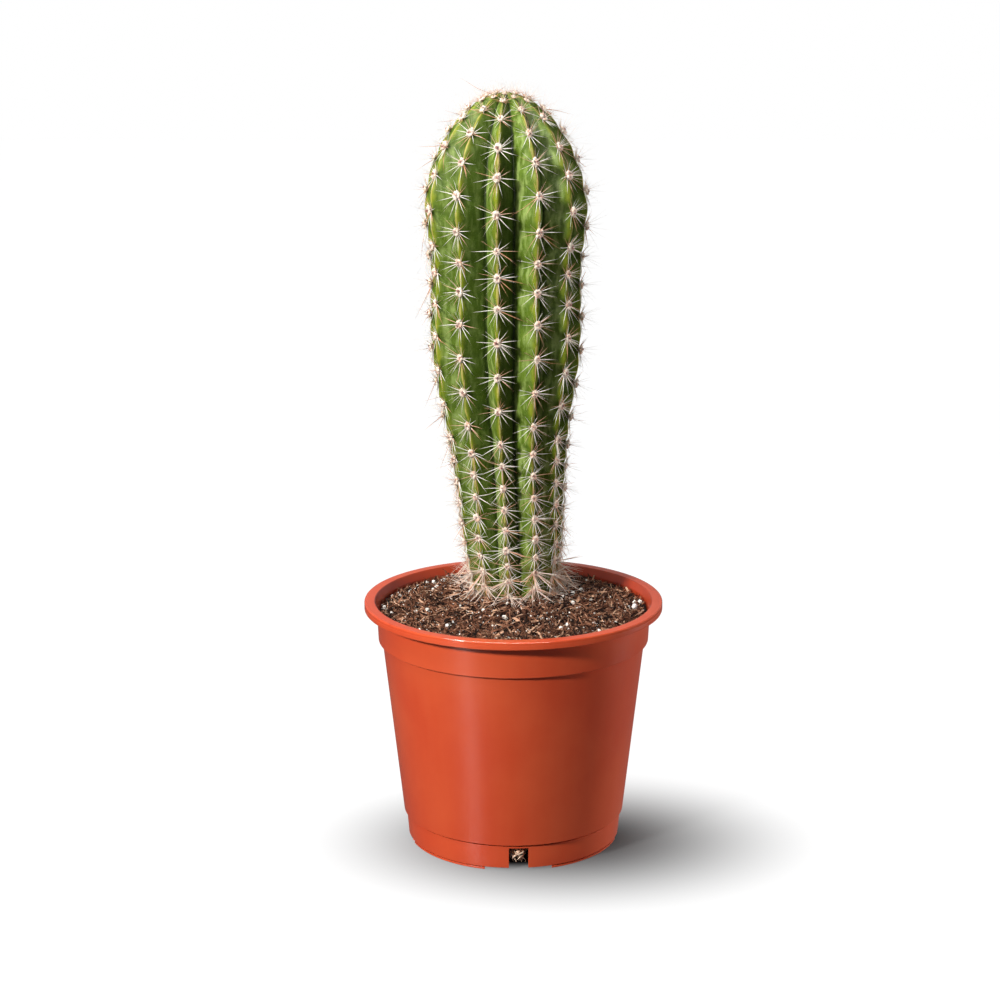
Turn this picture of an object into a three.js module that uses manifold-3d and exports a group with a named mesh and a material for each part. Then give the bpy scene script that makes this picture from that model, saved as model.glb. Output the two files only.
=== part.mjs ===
// A tall ribbed cactus in a round plastic nursery pot, standing in bark and perlite soil.
// Millimetres, +Z up. The origin is on the pot's axis at the surface that it stands on.
// The front faces -Y, and an azimuth is counted from the front towards +X.

import * as THREE from 'three';
import { mergeVertices } from 'three/addons/utils/BufferGeometryUtils.js';
import Module from 'manifold-3d';

const wasm = await Module();
wasm.setup();

const degrees = THREE.MathUtils.degToRad;
const { clamp, lerp, smoothstep } = THREE.MathUtils;

// General
const CLEARANCE = 0.4; // between pieces that rest against each other
const AROUND = 56; // segments round the pot and the soil

// Pot
const POT_HEIGHT = 141;
const POT_WALL = 1.2;
const RIM_RADIUS = 85;
const RIM_WIDTH = 6;
const LIP_DEPTH = 4.5;
const LIP_ROUND = 0.8;
const BAND_TOP_RADIUS = 78;
const BAND_FOOT_RADIUS = 77.2;
const BAND_FOOT = 117.9;
const WALL_TOP_RADIUS = 75;
const WALL_FOOT_RADIUS = 63.7;
const WALL_FOOT = 15.8;
const SKIRT_TOP_RADIUS = 62.6;
const SKIRT_FOOT_RADIUS = 61.3;
const SKIRT_INNER_RADIUS = 59.2;
const SKIRT_DRAFT = 1; // how much wider the skirt is inside at its top
const SKIRT_FOOT = 1.8;
const PAD_RADIUS = 60.8;
const FLOOR_TOP = WALL_FOOT;
const STEP_RISE = 0.3; // the height over which the wall steps out

// Water notches in the skirt, the gaps between the foot pads and the drain holes behind them
const NOTCH_COUNT = 4;
const NOTCH_AZIMUTH = degrees(2.75);
const NOTCH_WIDTH = 10.9;
const NOTCH_TOP = 13.9;
const NOTCH_REACH = 10;
const PAD_GAP = degrees(36);
const DRAIN_RADIUS = 6.5;
const DRAIN_DISTANCE = 51;
const DRAIN_SIDES = 20;

// Soil
const SOIL_EDGE = 134.5;
const SOIL_HEAP = 8.5;
const SOIL_HEAP_REACH = 42;
const SOIL_RINGS = 8;
const SOIL_RELIEF = 0.9;
const SOIL_SEED = 7;
const STEM_SINK = 25; // how deep the stem stands in the soil

// Stem. The outline gives the crest radius of the ribs at heights above the table.
const STEM_OUTLINE = [[118, 22.5], [144, 24.2], [176, 28.4], [205, 30.7], [235, 34.2],
  [262, 38.8], [285, 41.7], [305, 42.1], [328, 41.7], [358, 45]];
const DOME_FOOT = 358;
const DOME_RADIUS = 45;
const DOME_SHAPE = { rise: 1.9, round: 0.55 };
const STEM_TOP = 424.4;
const STEM_BACK = 14; // the stem stands this far behind the pot's axis
const LEAN_FOOT = { height: 145, x: 0.6 };
const LEAN_HEAD = { height: 255, x: -4.3 };

// Ribs
const RIB_COUNT = 12;
const RIB_AZIMUTH = degrees(-6);
const COLUMNS_PER_RIB = 4;
const FURROW_DEPTH = 0.28; // share of the crest radius
const FURROW_SHAPE = 1.6;
const RIB_FADE = { bottom: 138, top: 190, depth: 0.1 };
const FRONT_SPREAD = degrees(11); // low down the ribs stand wider apart in front than behind
const FRONT_SPREAD_TOP = 235;

// Areoles: from the soil up, how many and how far apart
const FIRST_AREOLE = 144.7;
const AREOLE_STEPS = [[3, 9.3], [2, 12], [3, 12.8], [3, 19.2], [1, 18.2], [1, 17],
  [1, 14.8], [2, 19.2], [2, 15], [1, 9], [1, 3.4]];
const AREOLE_KNOB = 0.9;
const KNOB_FADE_RADIUS = 20; // nearer the tip than this the knobs grow smaller

// Spines
const SPINE_SEED = 20;
const SPINES_PER_AREOLE = 3;
const SPINE_RADIUS = 0.65;
const SPINE_LENGTH = 11.5;
const YOUNG_STEPS = 3; // over the top steps the spines are younger and shorter
const YOUNG_SHARE = 0.5;
const CENTRAL_SPINE_LENGTH = 11.5;
const SPINE_SINK = 2;
const SPINE_SPREAD = 1.3; // from the areole's middle to a spine's root
const RADIAL_TILT = degrees(62);
const CENTRAL_TILT = degrees(24);
const SPINE_TURN = degrees(47);
const SPINE_JITTER = { tilt: 0.3, turn: 0.5, least: 0.85, most: 1.1 };
const SPINE_SOIL_GAP = 1.3;
const SPINE_SOIL_CHECKS = [0.4, 0.7, 1]; // shares of its length at which a spine is kept off the soil

// Roots in the front drain hole
const ROOT_COUNT = 6;
const ROOT_RADIUS = 0.9;
const ROOT_SEED = 3;
const ROOT_CLUMP_RADIUS = 3.4;
const ROOT_TIP_HEIGHT = 4.5;
const ROOT_REACH = { least: 2.4, most: 4, curl: 1.2 }; // from the middle of the drain hole
const ROOT_TWIST = 0.75;

const PLASTIC = { color: 0xc54e32, roughness: 0.45, metalness: 0 };
const SOIL = { color: 0x5a3b28, roughness: 0.95, metalness: 0 };
const STEM = { color: 0x4f7a2c, roughness: 0.55, metalness: 0 };
const ROOT = { color: 0xb89a72, roughness: 0.8, metalness: 0 };

// Makes draws between 0 and 1 that are the same on every run.
function seededDraws(seed) {
  let state = seed;
  return () => {
    state = (Math.imul(state, 1664525) + 1013904223) >>> 0;
    return state / 4294967296;
  };
}

// The point at a radius, an azimuth and a height.
function polar(radius, azimuth, height) {
  return new THREE.Vector3(radius * Math.sin(azimuth), -radius * Math.cos(azimuth), height);
}

// Keeps only the position, merges shared vertices and drops the flat triangles at a pole.
function welded(geometry) {
  const bare = geometry.clone();
  bare.deleteAttribute('normal');
  bare.deleteAttribute('uv');
  const merged = mergeVertices(bare, 1e-4);
  const corners = merged.getIndex().array;
  const kept = [];
  for (let i = 0; i < corners.length; i += 3) {
    const [a, b, c] = corners.slice(i, i + 3);
    if (a !== b && b !== c && c !== a) kept.push(a, b, c);
  }
  merged.setIndex(kept);
  return merged;
}

function toSolid(geometry) {
  const shape = welded(geometry);
  const vertProperties = new Float32Array(shape.getAttribute('position').array);
  const triVerts = new Uint32Array(shape.getIndex().array);
  return new wasm.Manifold(new wasm.Mesh({ numProp: 3, vertProperties, triVerts }));
}

function toGeometry(solid) {
  const { vertProperties, triVerts } = solid.getMesh();
  const geometry = new THREE.BufferGeometry();
  geometry.setAttribute('position', new THREE.BufferAttribute(vertProperties, 3));
  geometry.setIndex(new THREE.BufferAttribute(triVerts, 1));
  geometry.computeVertexNormals();
  return geometry;
}

// Turns a profile of [radius, height] points round the vertical axis.
function turned(profile, segments, start = 0) {
  const points = profile.map(([radius, height]) => new THREE.Vector2(radius, height));
  const geometry = new THREE.LatheGeometry(points, segments, start);
  return geometry.rotateX(Math.PI / 2);
}

// Calls move(point, column, row) on every vertex of a turned profile.
function reshape(geometry, rows, move) {
  const position = geometry.getAttribute('position');
  const point = new THREE.Vector3();
  for (let i = 0; i < position.count; i += 1) {
    point.fromBufferAttribute(position, i);
    move(point, Math.floor(i / rows), i % rows);
    position.setXYZ(i, point.x, point.y, point.z);
  }
  return geometry;
}

function piece(name, geometry, finish) {
  const mesh = new THREE.Mesh(geometry, new THREE.MeshStandardMaterial(finish));
  mesh.name = name;
  return mesh;
}

// Pot

function potProfile() {
  const rimInner = RIM_RADIUS - RIM_WIDTH;
  const lipFoot = POT_HEIGHT - LIP_DEPTH;
  return [
    [0, FLOOR_TOP - POT_WALL],
    [SKIRT_INNER_RADIUS + SKIRT_DRAFT, FLOOR_TOP - POT_WALL],
    [SKIRT_INNER_RADIUS, 0],
    [PAD_RADIUS, 0],
    [PAD_RADIUS, SKIRT_FOOT],
    [SKIRT_FOOT_RADIUS, SKIRT_FOOT],
    [SKIRT_TOP_RADIUS, WALL_FOOT],
    [WALL_FOOT_RADIUS, WALL_FOOT + STEP_RISE],
    [WALL_TOP_RADIUS, BAND_FOOT],
    [BAND_FOOT_RADIUS, BAND_FOOT + STEP_RISE],
    [BAND_TOP_RADIUS, lipFoot],
    [RIM_RADIUS - LIP_ROUND / 2, lipFoot],
    [RIM_RADIUS, lipFoot + LIP_ROUND / 2],
    [RIM_RADIUS, POT_HEIGHT - LIP_ROUND],
    [RIM_RADIUS - LIP_ROUND, POT_HEIGHT],
    [rimInner + LIP_ROUND / 2, POT_HEIGHT],
    [rimInner - LIP_ROUND / 2, POT_HEIGHT - LIP_ROUND],
    [BAND_TOP_RADIUS - POT_WALL, lipFoot],
    [BAND_FOOT_RADIUS - POT_WALL, BAND_FOOT + 2 * STEP_RISE],
    [WALL_TOP_RADIUS - POT_WALL, BAND_FOOT - POT_WALL / 2],
    [WALL_FOOT_RADIUS - POT_WALL, FLOOR_TOP],
    [0, FLOOR_TOP],
  ];
}

// A block across the skirt at an azimuth, from under the pot up to a height.
function skirtBlock(azimuth, width, top) {
  const below = 2;
  const block = new THREE.BoxGeometry(width, 2 * NOTCH_REACH, top + below);
  block.translate(0, -SKIRT_FOOT_RADIUS, (top - below) / 2);
  return block.rotateZ(azimuth);
}

function drainBore(azimuth) {
  const bore = new THREE.CylinderGeometry(DRAIN_RADIUS, DRAIN_RADIUS, 4 * POT_WALL, DRAIN_SIDES);
  bore.rotateX(Math.PI / 2);
  const centre = polar(DRAIN_DISTANCE, azimuth, FLOOR_TOP - POT_WALL / 2);
  return bore.translate(centre.x, centre.y, centre.z);
}

function makePot() {
  let solid = toSolid(turned(potProfile(), AROUND));
  const padGapWidth = 2 * PAD_RADIUS * Math.sin(PAD_GAP / 2);
  for (let k = 0; k < NOTCH_COUNT; k += 1) {
    const azimuth = NOTCH_AZIMUTH + (2 * Math.PI * k) / NOTCH_COUNT;
    solid = solid.subtract(toSolid(skirtBlock(azimuth, padGapWidth, SKIRT_FOOT)));
    solid = solid.subtract(toSolid(skirtBlock(azimuth, NOTCH_WIDTH, NOTCH_TOP)));
    solid = solid.subtract(toSolid(drainBore(azimuth)));
  }
  return piece('pot', toGeometry(solid), PLASTIC);
}

// Soil

const stemFoot = new THREE.Vector2(LEAN_FOOT.x, STEM_BACK);
const stemHoleRadius = STEM_OUTLINE[1][1] + CLEARANCE;

// The height of the soil at a place, heaped round the stem.
function soilHeight(x, y) {
  const outward = Math.hypot(x - stemFoot.x, y - stemFoot.y) - stemHoleRadius;
  return SOIL_EDGE + SOIL_HEAP * (1 - smoothstep(outward, 0, SOIL_HEAP_REACH));
}

function makeSoil() {
  const wallRows = [
    [0, FLOOR_TOP + CLEARANCE],
    [WALL_FOOT_RADIUS - POT_WALL - CLEARANCE, FLOOR_TOP + CLEARANCE],
    [WALL_TOP_RADIUS - POT_WALL - CLEARANCE, BAND_FOOT - POT_WALL / 2],
    [BAND_FOOT_RADIUS - POT_WALL - CLEARANCE, BAND_FOOT + 2 * STEP_RISE + CLEARANCE],
  ];
  const edgeRadius = BAND_TOP_RADIUS - POT_WALL - 2 * CLEARANCE;
  const topRows = [];
  for (let k = 0; k <= SOIL_RINGS; k += 1) {
    topRows.push([lerp(edgeRadius, stemHoleRadius, k / SOIL_RINGS), SOIL_EDGE]);
  }
  const holeFoot = SOIL_EDGE + SOIL_HEAP - STEM_SINK;
  const holeRows = [[stemHoleRadius, holeFoot], [0, holeFoot]];
  const profile = [...wallRows, ...topRows, ...holeRows];
  const draw = seededDraws(SOIL_SEED);
  const relief = Array.from({ length: AROUND * profile.length }, () => 2 * draw() - 1);

  const geometry = reshape(turned(profile, AROUND), profile.length, (point, column, row) => {
    const ring = row - wallRows.length;
    if (ring < 0) return;
    const inward = Math.min(ring / SOIL_RINGS, 1);
    point.x += inward * stemFoot.x;
    point.y += inward * stemFoot.y;
    if (ring > SOIL_RINGS) return;
    const rough = Math.sin(Math.PI * inward) * SOIL_RELIEF;
    point.z = soilHeight(point.x, point.y) + rough * relief[(column % AROUND) * profile.length + row];
  });
  return piece('soil', toGeometry(toSolid(geometry)), SOIL);
}

// Stem

const outlineHeights = STEM_OUTLINE.map(([height]) => height);
const outlineRadii = STEM_OUTLINE.map(([, radius]) => radius);
const outlineCurve = new THREE.CubicInterpolant(outlineHeights, outlineRadii, 1);

// The radius of the rib crests at a height: a swelling column under a blunt dome.
function crestRadius(height) {
  if (height < DOME_FOOT) return outlineCurve.evaluate(height)[0];
  const rise = clamp((height - DOME_FOOT) / (STEM_TOP - DOME_FOOT), 0, 1);
  return DOME_RADIUS * Math.pow(1 - Math.pow(rise, DOME_SHAPE.rise), DOME_SHAPE.round);
}

// The heights of the areole rows, at whole steps on one rib and half steps on the next.
const areoleHeights = [FIRST_AREOLE];
for (const [count, step] of AREOLE_STEPS) {
  for (let k = 0; k < count; k += 1) areoleHeights.push(areoleHeights.at(-1) + step);
}
const lastAreole = areoleHeights.length - 1;

function areoleHeight(step) {
  const below = Math.min(Math.floor(step), lastAreole - 1);
  return lerp(areoleHeights[below], areoleHeights[below + 1], step - below);
}

// The middle of the stem at a height.
function stemMiddle(height) {
  const share = clamp((height - LEAN_FOOT.height) / (LEAN_HEAD.height - LEAN_FOOT.height), 0, 1);
  return new THREE.Vector3(lerp(LEAN_FOOT.x, LEAN_HEAD.x, share), STEM_BACK, height);
}

// Low down the ribs are spread in front and closer together behind.
function spreadAzimuth(azimuth, height) {
  const low = clamp((FRONT_SPREAD_TOP - height) / (FRONT_SPREAD_TOP - FIRST_AREOLE), 0, 1);
  return azimuth + FRONT_SPREAD * low * Math.sin(azimuth);
}

// How deep the furrows cut at a height, as a share of the crest radius.
function furrowDepth(height) {
  const { bottom, top, depth } = RIB_FADE;
  const low = clamp((height - bottom) / (FIRST_AREOLE - bottom), 0, 1);
  const high = smoothstep(height, FIRST_AREOLE, top);
  return lerp(depth * low, FURROW_DEPTH, high);
}

// How far an areole stands out from its rib. The lowest ones lie flat in the soil.
function areoleKnob(step) {
  return AREOLE_KNOB * clamp(step, 0, 1);
}

// A point on the stem's skin. across runs from 0 on the crest to 1 in the furrow.
function skinPoint(azimuth, height, across, knob) {
  const radius = crestRadius(height);
  const cut = furrowDepth(height) * Math.pow(across, FURROW_SHAPE);
  const out = radius * (1 - cut) + knob * smoothstep(radius, 0, KNOB_FADE_RADIUS);
  return polar(out, spreadAzimuth(azimuth, height), 0).add(stemMiddle(height));
}

function stemRows() {
  const rows = [{ height: SOIL_EDGE + SOIL_HEAP - STEM_SINK + CLEARANCE, step: null }];
  rows.push({ height: RIB_FADE.bottom, step: null });
  for (let step = 0; step <= lastAreole; step += 0.5) rows.push({ height: areoleHeight(step), step });
  return rows;
}

function makeStemBody() {
  const rows = stemRows();
  const bottom = rows[0].height;
  const profile = [[0, bottom], ...rows.map(({ height }) => [1, height]), [0, STEM_TOP]];
  const columns = RIB_COUNT * COLUMNS_PER_RIB;
  const lathe = turned(profile, columns, RIB_AZIMUTH);
  return reshape(lathe, profile.length, (point, column, row) => {
    const middle = row === 0 || row === profile.length - 1;
    if (middle) {
      point.copy(stemMiddle(point.z));
      return;
    }
    const { height, step } = rows[row - 1];
    const rib = Math.floor(column / COLUMNS_PER_RIB);
    const place = column % COLUMNS_PER_RIB;
    const across = (2 * Math.min(place, COLUMNS_PER_RIB - place)) / COLUMNS_PER_RIB;
    const onAreole = step !== null && place === 0 && (2 * step + rib) % 2 === 0;
    const azimuth = RIB_AZIMUTH + (2 * Math.PI * (column % columns)) / columns;
    point.copy(skinPoint(azimuth, height, across, onAreole ? areoleKnob(step) : 0));
  });
}

// The place and the directions of an areole: out from the rib, up along it and across it.
function areoleFrame(rib, step) {
  const azimuth = RIB_AZIMUTH + (2 * Math.PI * rib) / RIB_COUNT;
  const height = areoleHeight(step);
  const place = skinPoint(azimuth, height, 0, areoleKnob(step));
  const span = Math.min(2, (STEM_TOP - height) / 2);
  const above = skinPoint(azimuth, height + span, 0, 0);
  const below = skinPoint(azimuth, height - span, 0, 0);
  const along = above.sub(below).normalize();
  const outward = polar(1, spreadAzimuth(azimuth, height), 0);
  const across = new THREE.Vector3().crossVectors(along, outward).normalize();
  const out = new THREE.Vector3().crossVectors(across, along).normalize();
  return { place, along, across, out };
}

// Lifts a spine's base and tip until the spine clears the soil all along.
function liftFromSoil(base, tip) {
  base.z = Math.max(base.z, soilHeight(base.x, base.y) + SPINE_SOIL_GAP);
  for (const share of SPINE_SOIL_CHECKS) {
    const point = base.clone().lerp(tip, share);
    const lack = soilHeight(point.x, point.y) + SPINE_SOIL_GAP - point.z;
    if (lack > 0) tip.z += lack / share;
  }
}

// A three-sided needle from a root to a tip.
function needle(root, tip) {
  const length = root.distanceTo(tip);
  const cone = new THREE.ConeGeometry(SPINE_RADIUS, length, 3);
  cone.translate(0, length / 2, 0);
  const direction = tip.clone().sub(root).normalize();
  cone.applyQuaternion(new THREE.Quaternion().setFromUnitVectors(new THREE.Vector3(0, 1, 0), direction));
  return cone.translate(root.x, root.y, root.z);
}

function areoleSpines(rib, step, draw) {
  const { place, along, across, out } = areoleFrame(rib, step);
  const age = lerp(1, YOUNG_SHARE, smoothstep(step, lastAreole - YOUNG_STEPS, lastAreole));
  const spines = [];
  const firstTurn = SPINE_TURN * (2 * step + 5 * rib) + draw();
  for (let k = 0; k < SPINES_PER_AREOLE; k += 1) {
    const central = k === 0;
    const tilt = (central ? CENTRAL_TILT : RADIAL_TILT) + SPINE_JITTER.tilt * (draw() - 0.5);
    const turn = firstTurn + (2 * Math.PI * k) / SPINES_PER_AREOLE + SPINE_JITTER.turn * (draw() - 0.5);
    const fullLength = central ? CENTRAL_SPINE_LENGTH : SPINE_LENGTH;
    const length = age * fullLength * lerp(SPINE_JITTER.least, SPINE_JITTER.most, draw());
    const sideways = along.clone().multiplyScalar(Math.cos(turn)).addScaledVector(across, Math.sin(turn));
    const direction = out.clone().multiplyScalar(Math.cos(tilt)).addScaledVector(sideways, Math.sin(tilt));
    const base = place.clone().addScaledVector(sideways, SPINE_SPREAD);
    const tip = base.clone().addScaledVector(direction, length);
    liftFromSoil(base, tip);
    spines.push(needle(base.addScaledVector(out, -SPINE_SINK), tip));
  }
  return spines;
}

function makeStem() {
  const draw = seededDraws(SPINE_SEED);
  const solids = [toSolid(makeStemBody())];
  for (let rib = 0; rib < RIB_COUNT; rib += 1) {
    for (let step = rib % 2 === 0 ? 0 : 0.5; step <= lastAreole; step += 1) {
      for (const spine of areoleSpines(rib, step, draw)) solids.push(toSolid(spine));
    }
  }
  return piece('cactus_stem', toGeometry(wasm.Manifold.union(solids)), STEM);
}

// Roots

// Curled roots that leave one clump in the drain hole and turn towards the notch.
function makeDrainRoots() {
  const clumpHeight = FLOOR_TOP - ROOT_CLUMP_RADIUS;
  const clump = new THREE.IcosahedronGeometry(ROOT_CLUMP_RADIUS, 0);
  clump.translate(0, 0, clumpHeight);
  const solids = [toSolid(clump)];
  const section = new THREE.Shape();
  section.absarc(0, 0, ROOT_RADIUS, 0, 2 * Math.PI);
  const draw = seededDraws(ROOT_SEED);
  for (let k = 0; k < ROOT_COUNT; k += 1) {
    const turn = (2 * Math.PI * k) / ROOT_COUNT;
    const reach = lerp(ROOT_REACH.least, ROOT_REACH.most, draw());
    const tipHeight = ROOT_TIP_HEIGHT + 2 * draw();
    const route = new THREE.CatmullRomCurve3([
      new THREE.Vector3(0, 0, clumpHeight),
      polar(reach, turn, lerp(clumpHeight, tipHeight, 0.4)),
      polar(reach + ROOT_REACH.curl / 2, turn + ROOT_TWIST, lerp(clumpHeight, tipHeight, 0.8)),
      polar(reach - ROOT_REACH.curl, turn + 2 * ROOT_TWIST, tipHeight),
    ]);
    const tube = new THREE.ExtrudeGeometry(section, { steps: 5, curveSegments: 3, extrudePath: route });
    solids.push(toSolid(tube));
  }
  const middle = polar(DRAIN_DISTANCE, NOTCH_AZIMUTH, 0);
  const geometry = toGeometry(wasm.Manifold.union(solids));
  return piece('drain_roots', geometry.translate(middle.x, middle.y, 0), ROOT);
}

const pottedCactus = new THREE.Group();
pottedCactus.add(makePot(), makeSoil(), makeStem(), makeDrainRoots());

export default pottedCactus;
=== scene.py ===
"""A tall ribbed cactus in a round plastic nursery pot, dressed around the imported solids.

Lengths are in metres. The front faces -Y, and an azimuth is counted from the front towards +X.
"""

import logging
import math
from dataclasses import dataclass, field
from enum import Enum
from random import Random
from typing import Callable, Iterable, Optional, Sequence, Union

import bmesh
import bpy
from mathutils import Matrix, Vector, noise


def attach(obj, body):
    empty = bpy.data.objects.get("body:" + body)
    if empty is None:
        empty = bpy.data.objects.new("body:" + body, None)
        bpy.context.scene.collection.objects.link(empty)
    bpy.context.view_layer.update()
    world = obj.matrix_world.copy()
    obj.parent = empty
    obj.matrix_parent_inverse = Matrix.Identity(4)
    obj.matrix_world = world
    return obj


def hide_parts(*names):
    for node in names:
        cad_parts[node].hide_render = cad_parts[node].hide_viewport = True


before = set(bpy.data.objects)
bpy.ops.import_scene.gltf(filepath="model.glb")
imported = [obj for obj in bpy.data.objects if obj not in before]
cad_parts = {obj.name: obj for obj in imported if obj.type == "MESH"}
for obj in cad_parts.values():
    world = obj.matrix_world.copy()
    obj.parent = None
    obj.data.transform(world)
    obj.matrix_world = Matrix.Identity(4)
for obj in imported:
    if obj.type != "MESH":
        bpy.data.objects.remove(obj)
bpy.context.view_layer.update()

MM = 0.001
FULL_TURN = 2 * math.pi
BODY = "root"
WELD = 0.001 * MM

Socket = bpy.types.NodeSocket
Material = bpy.types.Material
Template = bpy.types.Mesh
Piece = bpy.types.Object
Shape = bmesh.types.BMesh
Colour = tuple[float, float, float]
Pair = tuple[float, float]
Triple = tuple[float, float, float]
Feed = Union[float, int, tuple, Socket]
PlaceRule = Callable[[int, int], tuple[Vector, tuple[float, ...]]]

# A noise's bumps to the metre, its finer layers, and its depth in metres or the span of what it changes.
Noise = tuple[float, float, float]

# The low and the high end of what a fade follows, and its result at each end.
Fade = tuple[float, float, float, float]

log = logging.getLogger("potted_cactus")


def srgb(red: int, green: int, blue: int) -> Colour:
    """Turns a colour as a screen shows it into the linear one that shaders take.

    Args:
        red, green, blue: the screen colour, 0 to 255.

    Returns:
        The linear colour, 0 to 1.
    """
    def channel(value: int) -> float:
        """One channel of the colour."""
        share = value / 255
        return share / 12.92 if share <= 0.04045 else ((share + 0.055) / 1.055) ** 2.4

    return channel(red), channel(green), channel(blue)


def clamp(value: float, low: float = 0.0, high: float = 1.0) -> float:
    """Keeps a value between two limits."""
    return max(low, min(high, value))


def lerp(start: float, end: float, share: float) -> float:
    """The value a share of the way from start to end."""
    return start + (end - start) * share


def smoothstep(value: float, low: float, high: float) -> float:
    """Runs smoothly from 0 at low to 1 at high."""
    share = clamp((value - low) / (high - low))
    return share * share * (3 - 2 * share)


def polar(radius: float, azimuth: float, height: float = 0.0) -> Vector:
    """The point at a radius, an azimuth and a height."""
    return Vector((radius * math.sin(azimuth), -radius * math.cos(azimuth), height))


def ripple(point: Vector, wavelength: float) -> float:
    """Smooth noise between about -1 and 1 with bumps of a given size."""
    return noise.noise(point / wavelength)


def ripples(point: Vector, waves: Sequence[Pair]) -> float:
    """The sum of several ripples, each given by its depth and its wavelength."""
    return sum(depth * ripple(point, wavelength) for depth, wavelength in waves)


@dataclass(frozen=True)
class Spots:
    """Smooth noise that runs from nothing up to a strength between two of its values.

    scale counts its bumps to the metre, detail its finer layers, and stretch scales it along each axis.
    """

    scale: float
    detail: float
    low: float
    high: float
    strength: float = 1.0
    stretch: Optional[Triple] = None


class ShaderGraph:
    """The node tree of a material or of the surroundings, with short calls for the nodes that they use."""

    def __init__(self, name: str, surroundings: bool = False) -> None:
        """Starts a material with one surface shader, or white surroundings.

        Args:
            name: the name of the material or the surroundings.
            surroundings: whether it is the surroundings.
        """
        self.owner = (bpy.data.worlds if surroundings else bpy.data.materials).new(name)
        self.owner.use_nodes = True
        self.tree = self.owner.node_tree
        self.surface = self.tree.nodes["Background" if surroundings else "Principled BSDF"]
        places = self.tree.nodes.new("ShaderNodeTexCoord").outputs
        self.place = places["Generated" if surroundings else "Object"]

    def feed(self, socket: Socket, value: Feed) -> None:
        """Links or sets a socket.

        Args:
            socket: the socket.
            value: its source, or its value.
        """
        if isinstance(value, Socket):
            self.tree.links.new(value, socket)
        elif isinstance(value, tuple) and len(value) == 3 and socket.type == "RGBA":
            socket.default_value = (*value, 1.0)
        else:
            socket.default_value = value

    def node(self, kind: str, feeds: dict, **settings: object) -> bpy.types.Node:
        """Adds a node.

        Args:
            kind: the node's type.
            feeds: input name or number to a value or a socket.
            settings: the node's own properties.

        Returns:
            The new node.
        """
        made = self.tree.nodes.new(kind)
        for name, value in settings.items():
            setattr(made, name, value)
        for name, value in feeds.items():
            self.feed(made.inputs[name], value)
        return made

    def attribute(self, name: str) -> Socket:
        """A number that each point of the mesh carries."""
        return self.node("ShaderNodeAttribute", {}, attribute_name=name).outputs["Fac"]

    def height(self) -> Socket:
        """The height of the shaded point."""
        return self.node("ShaderNodeSeparateXYZ", {0: self.place}).outputs["Z"]

    def moved(self, scale: Triple, shift: Triple = (0.0, 0.0, 0.0)) -> Socket:
        """The place of the shaded point, scaled along each axis and then shifted."""
        feeds = {"Vector": self.place, "Scale": scale, "Location": shift}
        return self.node("ShaderNodeMapping", feeds).outputs["Vector"]

    def radius(self, scale: Triple = (1.0, 1.0, 0.0), shift: Triple = (0.0, 0.0, 0.0)) -> Socket:
        """The distance from the vertical axis, once the point is scaled and shifted."""
        feeds = {0: self.moved(scale, shift)}
        return self.node("ShaderNodeVectorMath", feeds, operation="LENGTH").outputs["Value"]

    def noise(self, scale: float, detail: float, place: Socket) -> Socket:
        """Smooth noise round 0.5: bumps to the metre, their finer layers and the place that it reads."""
        feeds = {"Vector": place, "Scale": scale, "Detail": detail}
        return self.node("ShaderNodeTexNoise", feeds).outputs["Fac"]

    def spots(self, look: Spots) -> Socket:
        """Noise that shows as spots, clouds or streaks."""
        noise = self.noise(look.scale, look.detail, self.moved(look.stretch) if look.stretch else self.place)
        return self.fade(noise, look.low, look.high, 0.0, look.strength)

    def wander(self, value: Feed, noise: Noise) -> Socket:
        """A value that noise moves up and down.

        Args:
            value: the value.
            noise: the noise, whose span it is moved over.

        Returns:
            The moved value's socket.
        """
        scale, detail, span = noise
        swing = self.math("SUBTRACT", self.noise(scale, detail, self.place), 0.5)
        return self.math("ADD", value, self.times(swing, span))

    def cells(self, scale: float) -> Socket:
        """The distance to the middle of scattered cells, of which there are scale to the metre."""
        return self.node("ShaderNodeTexVoronoi", {"Vector": self.place, "Scale": scale}).outputs["Distance"]

    def math(self, operation: str, first: Feed, second: Feed) -> Socket:
        """The result of a sum on two values."""
        return self.node("ShaderNodeMath", {0: first, 1: second}, operation=operation).outputs[0]

    def times(self, first: Feed, *others: Feed) -> Feed:
        """The product of two or more values.

        Args:
            first: a value.
            others: the rest of them.

        Returns:
            The product.
        """
        for other in others:
            first = self.math("MULTIPLY", first, other)
        return first

    def fade(self, value: Feed, low: Feed, high: Feed, start: Feed = 0.0, end: Feed = 1.0) -> Socket:
        """Runs smoothly from start to end as value goes from low to high."""
        feeds = {"Value": value, "From Min": low, "From Max": high, "To Min": start, "To Max": end}
        return self.node("ShaderNodeMapRange", feeds, interpolation_type="SMOOTHSTEP").outputs["Result"]

    def mix(self, share: Feed, first: Feed, second: Feed) -> Socket:
        """Blends two colours, with share as the part of the second one."""
        return self.node("ShaderNodeMix", {0: share, 6: first, 7: second}, data_type="RGBA").outputs[2]

    def ramp(self, value: Feed, stops: Sequence[tuple[float, Colour]]) -> Socket:
        """A colour that runs through several stops.

        Args:
            value: what it follows.
            stops: a value and its colour, from the lowest up.

        Returns:
            The colour's socket.
        """
        made = self.node("ShaderNodeValToRGB", {"Fac": value})
        band = made.color_ramp
        while len(band.elements) < len(stops):
            band.elements.new(1.0)
        for element, (place, colour) in zip(band.elements, stops):
            element.position = place
            element.color = (*colour, 1.0)
        return made.outputs["Color"]

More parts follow.
